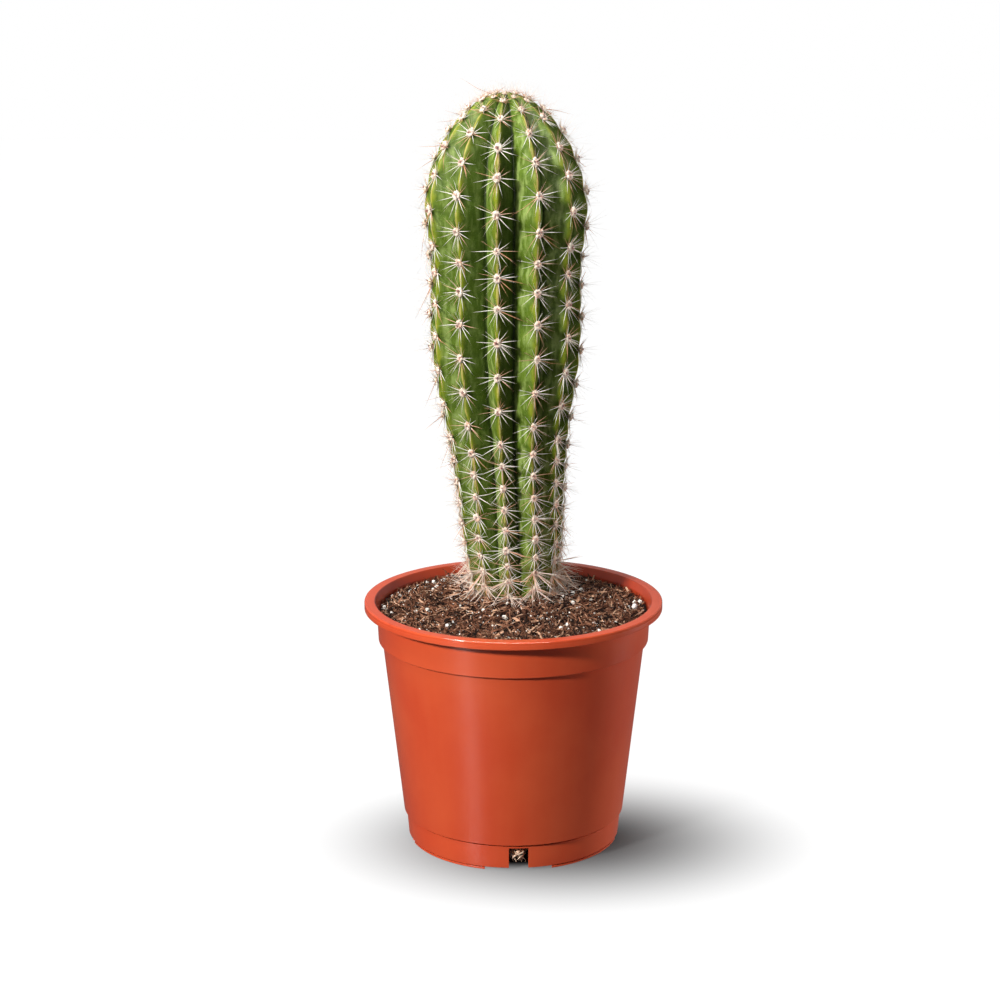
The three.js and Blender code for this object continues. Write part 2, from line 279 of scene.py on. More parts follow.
    def relief(self, *layers: Noise) -> Socket:
        """Fine relief.

        Args:
            layers: its noises, the coarsest first.

        Returns:
            The normal's socket.
        """
        normal = {}
        for scale, detail, depth in layers:
            height = self.noise(scale, detail, self.place)
            feeds = {"Height": height, "Distance": depth, "Strength": 1.0, **normal}
            normal = {"Normal": self.node("ShaderNodeBump", feeds).outputs["Normal"]}
        return normal["Normal"]

    def finish(self, **sockets: Feed) -> Union[Material, bpy.types.World]:
        """Sets the surface shader's sockets, named with _ for a space.

        Args:
            sockets: the socket's name to its value or source.

        Returns:
            The finished material or surroundings.
        """
        for name, value in sockets.items():
            self.feed(self.surface.inputs[name.replace("_", " ")], value)
        return self.owner


@dataclass(frozen=True)
class PlasticFinish:
    """Satin moulded plastic with faint streaks, a fine grain, a smoother rim, an inner wall darkened with
    painted shade, and dusty soil specks near the soil line.
    """

    colour: Colour = srgb(213, 84, 45)
    worn: Colour = srgb(218, 100, 64)
    deep: Colour = srgb(204, 71, 36)
    # Painted shade: the inner wall above the soil is darkened towards this red.
    inner: Colour = srgb(128, 34, 16)
    dust: Colour = srgb(90, 46, 32)
    clouds: Spots = Spots(16, 4, 0.35, 0.7)
    streaks: Spots = Spots(1, 3, 0.35, 0.75, 0.14, (90, 90, 7))
    specks: Spots = Spots(1100, 5, 0.5, 0.62)
    inner_shade_share: float = 0.55
    inner_wall: Fade = (136.5 * MM, 141 * MM, 77.1 * MM, 79.3 * MM)
    inner_edge: Fade = (-0.05 * MM, 0.1 * MM, 1.0, 0.0)
    inner_foot: Pair = (124 * MM, 125 * MM)
    dust_top: Fade = (134 * MM, 138 * MM, 1.0, 0.0)
    rim_radius: Pair = (84 * MM, 84.3 * MM)
    rim_height: Pair = (139 * MM, 140 * MM)
    rim_polish: float = 0.14
    roughness: Spots = Spots(60, 3, 0.2, 0.8, 0.05)
    least_roughness: float = 0.28
    layers: tuple[Noise, ...] = ((330, 2, 0.02 * MM), (2400, 3, 0.02 * MM))
    refraction: float = 1.48

    def material(self) -> Material:
        """Builds the material.

        Returns:
            The finished material.
        """
        graph = ShaderGraph("moulded_plastic")
        height = graph.height()
        radius = graph.radius()
        colour = graph.mix(graph.spots(self.clouds), self.deep, self.colour)
        colour = graph.mix(graph.spots(self.streaks), colour, self.worn)
        beyond = graph.math("SUBTRACT", radius, graph.fade(height, *self.inner_wall))
        inside = graph.times(graph.fade(beyond, *self.inner_edge), graph.fade(height, *self.inner_foot))
        # Painted shade on the inner wall; the same mask also places the dust specks below.
        colour = graph.mix(graph.times(inside, self.inner_shade_share), colour, self.inner)
        dusty = graph.times(inside, graph.fade(height, *self.dust_top), graph.spots(self.specks))
        colour = graph.mix(dusty, colour, self.dust)
        rim = graph.times(graph.fade(radius, *self.rim_radius), graph.fade(height, *self.rim_height))
        roughness = graph.math("ADD", graph.spots(self.roughness), self.least_roughness)
        roughness = graph.math("SUBTRACT", roughness, graph.times(rim, self.rim_polish))
        normal = graph.relief(*self.layers)
        return graph.finish(Base_Color=colour, Roughness=roughness, Normal=normal, IOR=self.refraction)


@dataclass(frozen=True)
class SkinFinish:
    """Waxy green skin: yellowish crests, a pale bloom on the flanks, dark furrows that are partly their own
    green and partly painted shade, painted shade round the areoles and on the flanks that face away from the
    painted light, and a bloom that is paler towards it.

    A point's across runs from 0 on the crest to 1 where two ribs meet, its swell from 0 at an areole to 1
    between two, and its painted light side from 0 away from the painted light to 1 towards it.
    """

    crest_line: Colour = srgb(206, 184, 108)
    crest: Colour = srgb(144, 152, 36)
    flank: Colour = srgb(90, 114, 29)
    bloom: Colour = srgb(150, 169, 92)
    shadow: Colour = srgb(70, 95, 27)
    # Painted shade: the green that the flanks facing away from the painted light are darkened towards.
    shaded: Colour = srgb(38, 54, 14)
    # The dark green of the pores and the furrow bottoms, also used for painted shade in the creases and
    # round the areoles.
    dark_green_and_painted_shade: Colour = srgb(24, 37, 8)
    cork: Colour = srgb(168, 138, 92)
    flank_foot: float = 0.78
    furrow_edge: float = 0.98
    flank_wander: Noise = (70, 5, 0.35)
    crest_width: Fade = (0.0, 1.0, 0.04, 0.2)
    crest_blur: Fade = (-0.07, 0.1, 0.0, 0.72)
    crest_wander: Noise = (170, 4, 0.3)
    blotches: Spots = Spots(1, 6, 0.4, 0.66, 0.5, (190, 190, 130))
    streaks: Spots = Spots(1, 6, 0.4, 0.68, 1.0, (330, 330, 110))
    bloom_start: Fade = (0.1, 0.34, 0.0, 1.0)
    bloom_end: Fade = (0.78, 0.96, 1.0, 0.0)
    # Painted light: the bloom is paler on the flanks that face the painted light.
    painted_light_bloom: Fade = (0.3, 0.9, 0.4, 0.9)
    # Painted shade: how the painted light side value darkens the flanks that face away from the painted
    # light.
    painted_shade_fade: Fade = (0.3, 0.9, 0.5, 0.0)
    line: Fade = (0.0, 0.09, 1.0, 0.0)
    line_parts: Spots = Spots(160, 4, 0.38, 0.6, 0.75)
    stipple: Spots = Spots(1500, 2, 0.56, 0.7, 0.22)
    pores: Spots = Spots(950, 3, 0.6, 0.74, 0.4)
    cork_top: Fade = (144 * MM, 172 * MM, 1.0, 0.0)
    cork_across: Fade = (0.3, 0.7, 0.8, 0.2)
    cork_patches: Spots = Spots(210, 5, 0.48, 0.62)
    areole_shade: Fade = (0.0, 0.35, 0.12, 0.0)
    roughness: Spots = Spots(300, 4, 0.35, 0.7, 0.16)
    least_roughness: float = 0.42
    layers: tuple[Noise, ...] = ((260, 3, 0.22 * MM), (1700, 3, 0.06 * MM))
    gloss: float = 0.1

    def material(self) -> Material:
        """Builds the material.

        Returns:
            The finished material.
        """
        graph = ShaderGraph("waxy_skin")
        across = graph.attribute("across")
        swell = graph.attribute("swell")
        # How far each flank faces the painted light, from 0 to 1.
        sun = graph.attribute("sun")
        # The flank green darkens into the furrow: partly its own darker green, partly painted shade in the
        # crease.
        stops = [(0.0, self.flank), (self.flank_foot, self.flank), (self.furrow_edge, self.dark_green_and_painted_shade)]
        colour = graph.ramp(graph.wander(across, self.flank_wander), stops)
        lens = graph.math("SUBTRACT", graph.fade(swell, *self.crest_width), across)
        lens = graph.wander(lens, self.crest_wander)
        colour = graph.mix(graph.fade(lens, *self.crest_blur), colour, self.crest)
        colour = graph.mix(graph.spots(self.blotches), colour, self.shadow)
        belt = graph.times(graph.fade(across, *self.bloom_start), graph.fade(across, *self.bloom_end))
        # The bloom grows towards the painted light: painted light on the lit flanks.
        bloom = graph.times(belt, graph.spots(self.streaks), graph.fade(sun, *self.painted_light_bloom))
        colour = graph.mix(bloom, colour, self.bloom)
        # Painted shade on the flanks that face away from the painted light.
        colour = graph.mix(graph.fade(sun, *self.painted_shade_fade), colour, self.shaded)
        line = graph.times(graph.fade(across, *self.line), graph.spots(self.line_parts))
        colour = graph.mix(line, colour, self.crest_line)
        colour = graph.mix(graph.spots(self.stipple), colour, self.bloom)
        colour = graph.mix(graph.spots(self.pores), colour, self.dark_green_and_painted_shade)
        low = graph.fade(graph.height(), *self.cork_top)
        cork = graph.times(low, graph.spots(self.cork_patches), graph.fade(across, *self.cork_across))
        colour = graph.mix(cork, colour, self.cork)
        colour = graph.mix(graph.fade(swell, *self.areole_shade), colour, self.dark_green_and_painted_shade)
        roughness = graph.math("ADD", graph.spots(self.roughness), self.least_roughness)
        normal = graph.relief(*self.layers)
        return graph.finish(
            Base_Color=colour, Roughness=roughness, Normal=normal, Specular_IOR_Level=self.gloss)


@dataclass(frozen=True)
class SpineFinish:
    """Horny spines, from cream ones at tone 0 to rust-red ones at tone 1, each paler at its root."""

    pale: Colour = srgb(248, 242, 230)
    pink: Colour = srgb(230, 190, 166)
    tan: Colour = srgb(214, 152, 106)
    rust: Colour = srgb(128, 54, 36)
    bulb: Colour = srgb(250, 232, 218)
    tip: Colour = srgb(214, 178, 154)
    tone_wander: Noise = (140, 3, 0.35)
    bulb_end: Fade = (0.04, 0.16, 0.85, 0.0)
    tip_start: Fade = (0.7, 1.0, 0.0, 0.4)
    roughness: float = 0.34
    refraction: float = 1.5

    def material(self) -> Material:
        """Builds the material.

        Returns:
            The finished material.
        """
        graph = ShaderGraph("horny_spine")
        along = graph.attribute("along")
        tone = graph.wander(graph.attribute("tone"), self.tone_wander)
        colour = graph.ramp(tone, [(0.12, self.pale), (0.3, self.pink), (0.52, self.tan), (0.95, self.rust)])
        colour = graph.mix(graph.fade(along, *self.bulb_end), colour, self.bulb)
        colour = graph.mix(graph.fade(along, *self.tip_start), colour, self.tip)
        return graph.finish(Base_Color=colour, Roughness=self.roughness, IOR=self.refraction)


@dataclass(frozen=True)
class WoolFinish:
    """Short felted wool: cream and pink tufts at the spines' roots, on a rust-brown pad."""

    pale: Colour = srgb(255, 240, 222)
    pink: Colour = srgb(246, 194, 164)
    rust: Colour = srgb(130, 48, 28)
    blush: Spots = Spots(700, 4, 0.46, 0.64)
    pad_cells: float = 640
    pad_bare: Fade = (0.2, 0.6, 1.0, 0.5)
    felt: Noise = (2600, 5, 0.5 * MM)
    roughness: float = 0.9
    sheen: float = 0.4

    def material(self) -> Material:
        """Builds the material.

        Returns:
            The finished material.
        """
        graph = ShaderGraph("areole_wool")
        colour = graph.mix(graph.spots(self.blush), self.pale, self.pink)
        bare = graph.times(graph.attribute("pad"), graph.fade(graph.cells(self.pad_cells), *self.pad_bare))
        colour = graph.mix(bare, colour, self.rust)
        normal = graph.relief(self.felt)
        return graph.finish(
            Base_Color=colour, Roughness=self.roughness, Normal=normal, Sheen_Weight=self.sheen)


@dataclass(frozen=True)
class BarkFinish:
    """Shredded bark and peat with fine fibres, each chip with a tone between dark at 0 and pale at 1."""

    name: str = "shredded_bark"
    dark: Colour = srgb(26, 15, 10)
    brown: Colour = srgb(113, 72, 52)
    tan: Colour = srgb(178, 124, 94)
    pale: Colour = srgb(236, 196, 162)
    tone_wander: Noise = (1300, 4, 0.7)
    fibres: Noise = (2400, 4, 0.35 * MM)
    roughness: float = 0.82
    gloss: float = 0.1

    def material(self) -> Material:
        """Builds the material.

        Returns:
            The finished material.
        """
        graph = ShaderGraph(self.name)
        tone = graph.wander(graph.attribute("tone"), self.tone_wander)
        colour = graph.ramp(tone, [(0.05, self.dark), (0.4, self.brown), (0.75, self.tan), (1.0, self.pale)])
        normal = graph.relief(self.fibres)
        return graph.finish(
            Base_Color=colour, Roughness=self.roughness, Normal=normal, Specular_IOR_Level=self.gloss)


@dataclass(frozen=True)
class PerliteFinish:
    """Chalky expanded perlite, white with cream and a little soil in its pores."""

    white: Colour = srgb(255, 250, 242)
    cream: Colour = srgb(242, 226, 204)
    soiled: Colour = srgb(160, 128, 102)
    clouds: Spots = Spots(420, 3, 0.45, 0.7)
    dirt: Spots = Spots(1500, 4, 0.62, 0.74, 0.6)
    pores: Noise = (2200, 4, 0.4 * MM)
    roughness: float = 0.88

    def material(self) -> Material:
        """Builds the material.

        Returns:
            The finished material.
        """
        graph = ShaderGraph("perlite")
        colour = graph.mix(graph.spots(self.clouds), self.white, self.cream)
        colour = graph.mix(graph.spots(self.dirt), colour, self.soiled)
        return graph.finish(Base_Color=colour, Roughness=self.roughness, Normal=graph.relief(self.pores))


@dataclass(frozen=True)
class RootFinish:
    """Dry pale root skin with darker patches and fine wrinkles."""

    pale: Colour = srgb(246, 212, 182)
    brown: Colour = srgb(168, 120, 88)
    patches: Spots = Spots(600, 4, 0.45, 0.68)
    wrinkles: Noise = (1600, 4, 0.25 * MM)
    roughness: float = 0.78

    def material(self) -> Material:
        """Builds the material.

        Returns:
            The finished material.
        """
        graph = ShaderGraph("dry_root")
        colour = graph.mix(graph.spots(self.patches), self.pale, self.brown)
        return graph.finish(Base_Color=colour, Roughness=self.roughness, Normal=graph.relief(self.wrinkles))


@dataclass(frozen=True)
class FloorFinish:
    """A white studio floor that glows white away from the plant, with a painted soft shadow round the pot
    and painted dark shade under its foot.
    """

    colour: Colour = (0.06, 0.06, 0.06)
    light: Colour = (1.0, 1.0, 1.0)
    roughness: float = 0.9
    shade_middle: Pair = (29 * MM, -16 * MM)
    shade_reach: Pair = (168 * MM, 119 * MM)
    shade_glow: Fade = (0.1, 1.0, 0.03, 1.0)
    foot_shade: Pair = (48 * MM, 59.5 * MM)

    def material(self) -> Material:
        """Builds the material.

        Returns:
            The finished material.
        """
        graph = ShaderGraph("studio_floor")
        (across, deep), (middle_x, middle_y) = self.shade_reach, self.shade_middle
        # Painted shadow: the glow fades to a little in a soft ellipse centred a little right of the pot, and
        # to nothing under its foot.
        distance = graph.radius((1 / across, 1 / deep, 0.0), (-middle_x / across, -middle_y / deep, 0.0))
        foot = graph.fade(graph.radius(), *self.foot_shade)
        glow = graph.times(graph.fade(distance, *self.shade_glow), foot)
        return graph.finish(
            Base_Color=self.colour, Roughness=self.roughness, Specular_IOR_Level=0.0,
            Emission_Color=self.light, Emission_Strength=glow)


def put_in_scene(name: str, shape: Shape, material: Material, smooth: bool = True) -> Piece:
    """Turns a bmesh into an object of the scene.

    Args:
        name: the object's name.
        shape: the mesh, which is freed.
        material: its finish.
        smooth: whether its faces are shaded smoothly.

    Returns:
        The object, which sits at the origin.
    """
    mesh = bpy.data.meshes.new(name)
    for face in shape.faces:
        face.smooth = smooth
    shape.to_mesh(mesh)
    shape.free()
    mesh.materials.append(material)
    piece = bpy.data.objects.new(name, mesh)
    bpy.context.scene.collection.objects.link(piece)
    return piece


def mount_piece(piece: Piece, node: str) -> None:
    """Fixes a piece to the body, hides the solid that it stands for and logs its triangles.

    Args:
        piece: the finished object.
        node: the solid that it stands for.
    """
    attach(piece, BODY)
    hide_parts(node)
    triangles = sum(len(face.vertices) - 2 for face in piece.data.polygons)
    log.info("%s: %d triangles", piece.name, triangles)


def apply_modifiers(piece: Piece) -> None:
    """Replaces a piece's mesh by what its modifiers make of it.

    Args:
        piece: the object, which keeps no modifier.
    """
    graph = bpy.context.evaluated_depsgraph_get()
    finished = bpy.data.meshes.new_from_object(piece.evaluated_get(graph))
    piece.modifiers.clear()
    piece.data = finished


def weld(shape: Shape, distance: float = WELD) -> Shape:
    """Merges points that meet and turns every face outward.

    Args:
        shape: the mesh, which is changed.
        distance: how close points are merged.

    Returns:
        The same mesh.
    """
    bmesh.ops.remove_doubles(shape, verts=shape.verts, dist=distance)
    bmesh.ops.recalc_face_normals(shape, faces=shape.faces)
    return shape


def wrapped_grid(columns: int, rows: int, layers: Sequence[str], place: PlaceRule) -> Shape:
    """Makes a grid that closes round the vertical axis.

    Args:
        columns: faces round it.
        rows: faces from its foot to its top.
        layers: the names of the numbers that each point carries.
        place: gives a point and its numbers, from its column and row.

    Returns:
        The closed mesh, with its seam and poles merged.
    """
    shape = bmesh.new()
    numbers = [shape.verts.layers.float.new(name) for name in layers]
    bmesh.ops.create_grid(shape, x_segments=columns, y_segments=rows, size=0.5)
    for corner in shape.verts:
        column = round((corner.co.x + 0.5) * columns) % columns
        row = round((corner.co.y + 0.5) * rows)
        corner.co, values = place(column, row)
        for layer, value in zip(numbers, values):
            corner[layer] = value
    return weld(shape)


class Heap:
    """One mesh that many copies of small templates are added to."""

    def __init__(self, layers: Iterable[str]) -> None:
        """Starts an empty mesh.

        Args:
            layers: the numbers that each point carries.
        """
        self.shape = bmesh.new()
        for name in layers:
            self.shape.verts.layers.float.new(name)

    def add(self, template: Template, place: Matrix) -> None:
        """Adds a copy of a template.

        Args:
            template: the mesh to copy.
            place: the matrix that moves the copy.
        """
        copy = template.copy()
        copy.transform(place)
        self.shape.from_mesh(copy)
        bpy.data.meshes.remove(copy)


def as_template(shape: Shape, numbers: dict[str, Callable[[Vector], float]]) -> Template:
    """Turns a small bmesh into a template whose points carry numbers.

    Args:
        shape: the mesh, which is freed.
        numbers: the name of each number, and how it follows from a point.

    Returns:
        The template.
    """
    for name, rule in numbers.items():
        layer = shape.verts.layers.float.new(name)
        for corner in shape.verts:
            corner[layer] = rule(corner.co)
    mesh = bpy.data.meshes.new("template")
    shape.to_mesh(mesh)
    shape.free()
    return mesh


def aimed(place: Vector, direction: Vector, size: float, roll: float = 0.0) -> Matrix:
    """The matrix that puts a template at a place.

    Args:
        place: where its origin goes.
        direction: where its +Z goes.
        size: how much it grows.
        roll: its turn round +Z.

    Returns:
        The matrix.
    """
    turn = direction.to_track_quat("Z", "Y").to_matrix().to_4x4()
    return Matrix.Translation(place) @ turn @ Matrix.Rotation(roll, 4, "Z") @ Matrix.Scale(size, 4)


def swept(route: Sequence[Vector], radii: Sequence[float], sides: int) -> Shape:
    """Extrudes a ring along a route.

    Args:
        route: the middle of the tube.
        radii: its radius at each point.
        sides: how many sides it has.

    Returns:
        The closed tube.
    """
    shape = bmesh.new()
    headings = [(after - before).normalized() for before, after in zip(route, route[1:])]
    headings.append(headings[-1])

    def settle(corners: list[bmesh.types.BMVert], index: int) -> None:
        """Lays a ring across the route at one of its points.

        Args:
            corners: the ring's points, in order.
            index: the number of the route's point.
        """
        matrix = aimed(route[index], headings[index], radii[index])
        for number, corner in enumerate(corners):
            corner.co = matrix @ polar(1.0, FULL_TURN * number / sides)

    ring = bmesh.ops.create_circle(shape, cap_ends=True, segments=sides, radius=1.0)["verts"]
    settle(ring, 0)
    face = shape.faces[:][0]
    for index in range(1, len(route)):
        face = bmesh.ops.extrude_discrete_faces(shape, faces=[face])["faces"][0]
        settle(list(face.verts), index)
    return weld(shape, 0.0)


@dataclass
class Pot:
    """The moulded pot: rolled rim, band, tapered wall, skirt with notches, raised floor."""

    height: float = 141 * MM
    wall: float = 1.2 * MM
    rim_radius: float = 85 * MM
    rim_width: float = 6 * MM
    lip_depth: float = 4.5 * MM
    band_top: float = 78 * MM
    band_foot: float = 77.2 * MM
    band_foot_height: float = 117.9 * MM
    wall_top: float = 75 * MM
    wall_foot: float = 63.7 * MM
    floor_top: float = 15.8 * MM
    skirt_top: float = 62.3 * MM
    skirt_foot: float = 61.2 * MM
    skirt_inner: float = 59.2 * MM
    pad_radius: float = 60.9 * MM
    pad_height: float = 1.8 * MM
    pad_groove: Pair = (1.2 * MM, 0.6 * MM)
    foot_groove: Pair = (1.2 * MM, 0.8 * MM)
    pad_gap: float = math.radians(36)
    notch_count: int = 4
    notch_azimuth: float = math.radians(2.75)
    notch_width: float = 10.9 * MM
    notch_top: float = 13.9 * MM
    notch_reach: float = 10 * MM
    drain_radius: float = 6.5 * MM
    drain_distance: float = 51 * MM
    drain_sides: int = 40
    cut_below: float = 2 * MM
    step: float = 0.3 * MM
    segments: int = 240
    round_steps: int = 5
    edge_width: float = 0.25 * MM
    edge_steps: int = 2
    edge_angle: float = math.radians(50)
    sharp_angle: float = math.radians(32)
    finish: PlasticFinish = PlasticFinish()

    def corners(self) -> list[tuple[float, float, float]]:
        """The section from the axis under the floor round to the axis above it.

        Returns:
            The radius, the height and the rounding of each corner.
        """
        lip_foot = self.height - self.lip_depth
        rim_inner = self.rim_radius - self.rim_width
        under = self.floor_top - self.wall
        pad_inset, pad_drop = self.pad_groove
        foot_inset, foot_drop = self.foot_groove
        return [
            (0.0, under, 0.0),
            (self.skirt_inner + 1 * MM, under, 0.5 * MM),
            (self.skirt_inner, 0.0, 0.25 * MM),
            (self.pad_radius, 0.0, 0.4 * MM),
            (self.pad_radius, self.pad_height - pad_drop, 0.1 * MM),
            (self.pad_radius - pad_inset, self.pad_height - pad_drop, 0.05 * MM),
            (self.pad_radius - pad_inset, self.pad_height, 0.05 * MM),
            (self.skirt_foot, self.pad_height, 0.2 * MM),
            (self.skirt_top, self.floor_top - foot_drop, 0.12 * MM),
            (self.skirt_top - foot_inset, self.floor_top - foot_drop, 0.05 * MM),
            (self.skirt_top - foot_inset, self.floor_top, 0.1 * MM),
            (self.wall_foot, self.floor_top + self.step, 0.25 * MM),
            (self.wall_top, self.band_foot_height, 0.12 * MM),
            (self.band_foot, self.band_foot_height + self.step, 0.6 * MM),
            (self.band_top, lip_foot, 0.3 * MM),
            (self.rim_radius, lip_foot, 0.5 * MM),
            (self.rim_radius, self.height, 0.8 * MM),
            (rim_inner, self.height, 0.5 * MM),
            (self.band_top - self.wall, lip_foot, 0.8 * MM),
            (self.band_foot - self.wall, self.band_foot_height + 2 * self.step, 0.3 * MM),
            (self.wall_top - self.wall, self.band_foot_height - self.wall / 2, 0.3 * MM),
            (self.wall_foot - self.wall, self.floor_top, 1.0 * MM),
            (0.0, self.floor_top, 0.0),
        ]

    def section(self) -> list[Vector]:
        """The corners with each rounded one replaced by a short curve.

        Returns:
            The points of the section, in order.
        """
        corners = [(Vector((radius, 0.0, height)), size) for radius, height, size in self.corners()]
        points = []
        for index, (corner, size) in enumerate(corners):
            if size == 0.0:
                points.append(corner)
                continue
            before = corners[index - 1][0]
            after = corners[index + 1][0]
            start = corner + (before - corner).normalized() * size
            end = corner + (after - corner).normalized() * size
            for step in range(self.round_steps + 1):
                share = step / self.round_steps
                points.append(start.lerp(corner, share).lerp(corner.lerp(end, share), share))
        return points

    def turned(self) -> Shape:
        """Spins the section into the closed pot, without its notches and holes.

        Returns:
            The pot's mesh.
        """
        shape = bmesh.new()
        corners = [shape.verts.new(point) for point in self.section()]
        edges = [shape.edges.new(pair) for pair in zip(corners, corners[1:])]
        bmesh.ops.spin(
            shape, geom=corners + edges, cent=(0, 0, 0), axis=(0, 0, 1), dvec=(0, 0, 0),
            angle=FULL_TURN, steps=self.segments, use_merge=True, use_normal_flip=False, use_duplicate=False)
        return weld(shape)

    def notch_azimuths(self) -> list[float]:
        """The azimuths of the notches and of the drain holes behind them."""
        count = self.notch_count
        return [self.notch_azimuth + FULL_TURN * number / count for number in range(count)]

    def blocks(self, width: float, top: float) -> Shape:
        """Cutters across the skirt at each notch.

        Args:
            width: how wide each block is.
            top: how high it reaches.

        Returns:
            One mesh with all the blocks.
        """
        shape = bmesh.new()
        middle = Matrix.Translation((0, -self.skirt_foot, (top - self.cut_below) / 2))
        size = Matrix.Diagonal((width, 2 * self.notch_reach, top + self.cut_below, 1))
        for azimuth in self.notch_azimuths():
            bmesh.ops.create_cube(shape, size=1.0, matrix=Matrix.Rotation(azimuth, 4, "Z") @ middle @ size)
        return shape

    def bores(self) -> Shape:
        """Cutters for the drain holes in the floor.

        Returns:
            One mesh with all the bores.
        """
        shape = bmesh.new()
        for azimuth in self.notch_azimuths():
            middle = polar(self.drain_distance, azimuth, self.floor_top - self.wall / 2)
            bmesh.ops.create_cone(
                shape, cap_ends=True, segments=self.drain_sides, radius1=self.drain_radius,
                radius2=self.drain_radius, depth=4 * self.wall, matrix=Matrix.Translation(middle))
        return shape

    def cut(self, pot: Piece, cutter: Shape) -> None:
        """Cuts a shape out of the pot and applies the cut.

        Args:
            pot: the pot.
            cutter: what is cut away, which is freed.
        """
        tool = put_in_scene("cutter", cutter, pot.data.materials[0], smooth=False)
        modifier = pot.modifiers.new("cut", "BOOLEAN")
        modifier.operation = "DIFFERENCE"
        modifier.solver = "EXACT"
        modifier.object = tool
        apply_modifiers(pot)
        bpy.data.objects.remove(tool)

    def build(self) -> None:
        """Makes the pot."""
        pot = put_in_scene("pot_shell", self.turned(), self.finish.material())
        pad_gap_width = 2 * self.pad_radius * math.sin(self.pad_gap / 2)
        self.cut(pot, self.blocks(pad_gap_width, self.pad_height))
        self.cut(pot, self.blocks(self.notch_width, self.notch_top))
        self.cut(pot, self.bores())
        edges = pot.modifiers.new("edges", "BEVEL")
        edges.width = self.edge_width
        edges.segments = self.edge_steps
        edges.limit_method = "ANGLE"
        edges.angle_limit = self.edge_angle
        apply_modifiers(pot)
        pot.data.set_sharp_from_angle(angle=self.sharp_angle)
        mount_piece(pot, "pot")


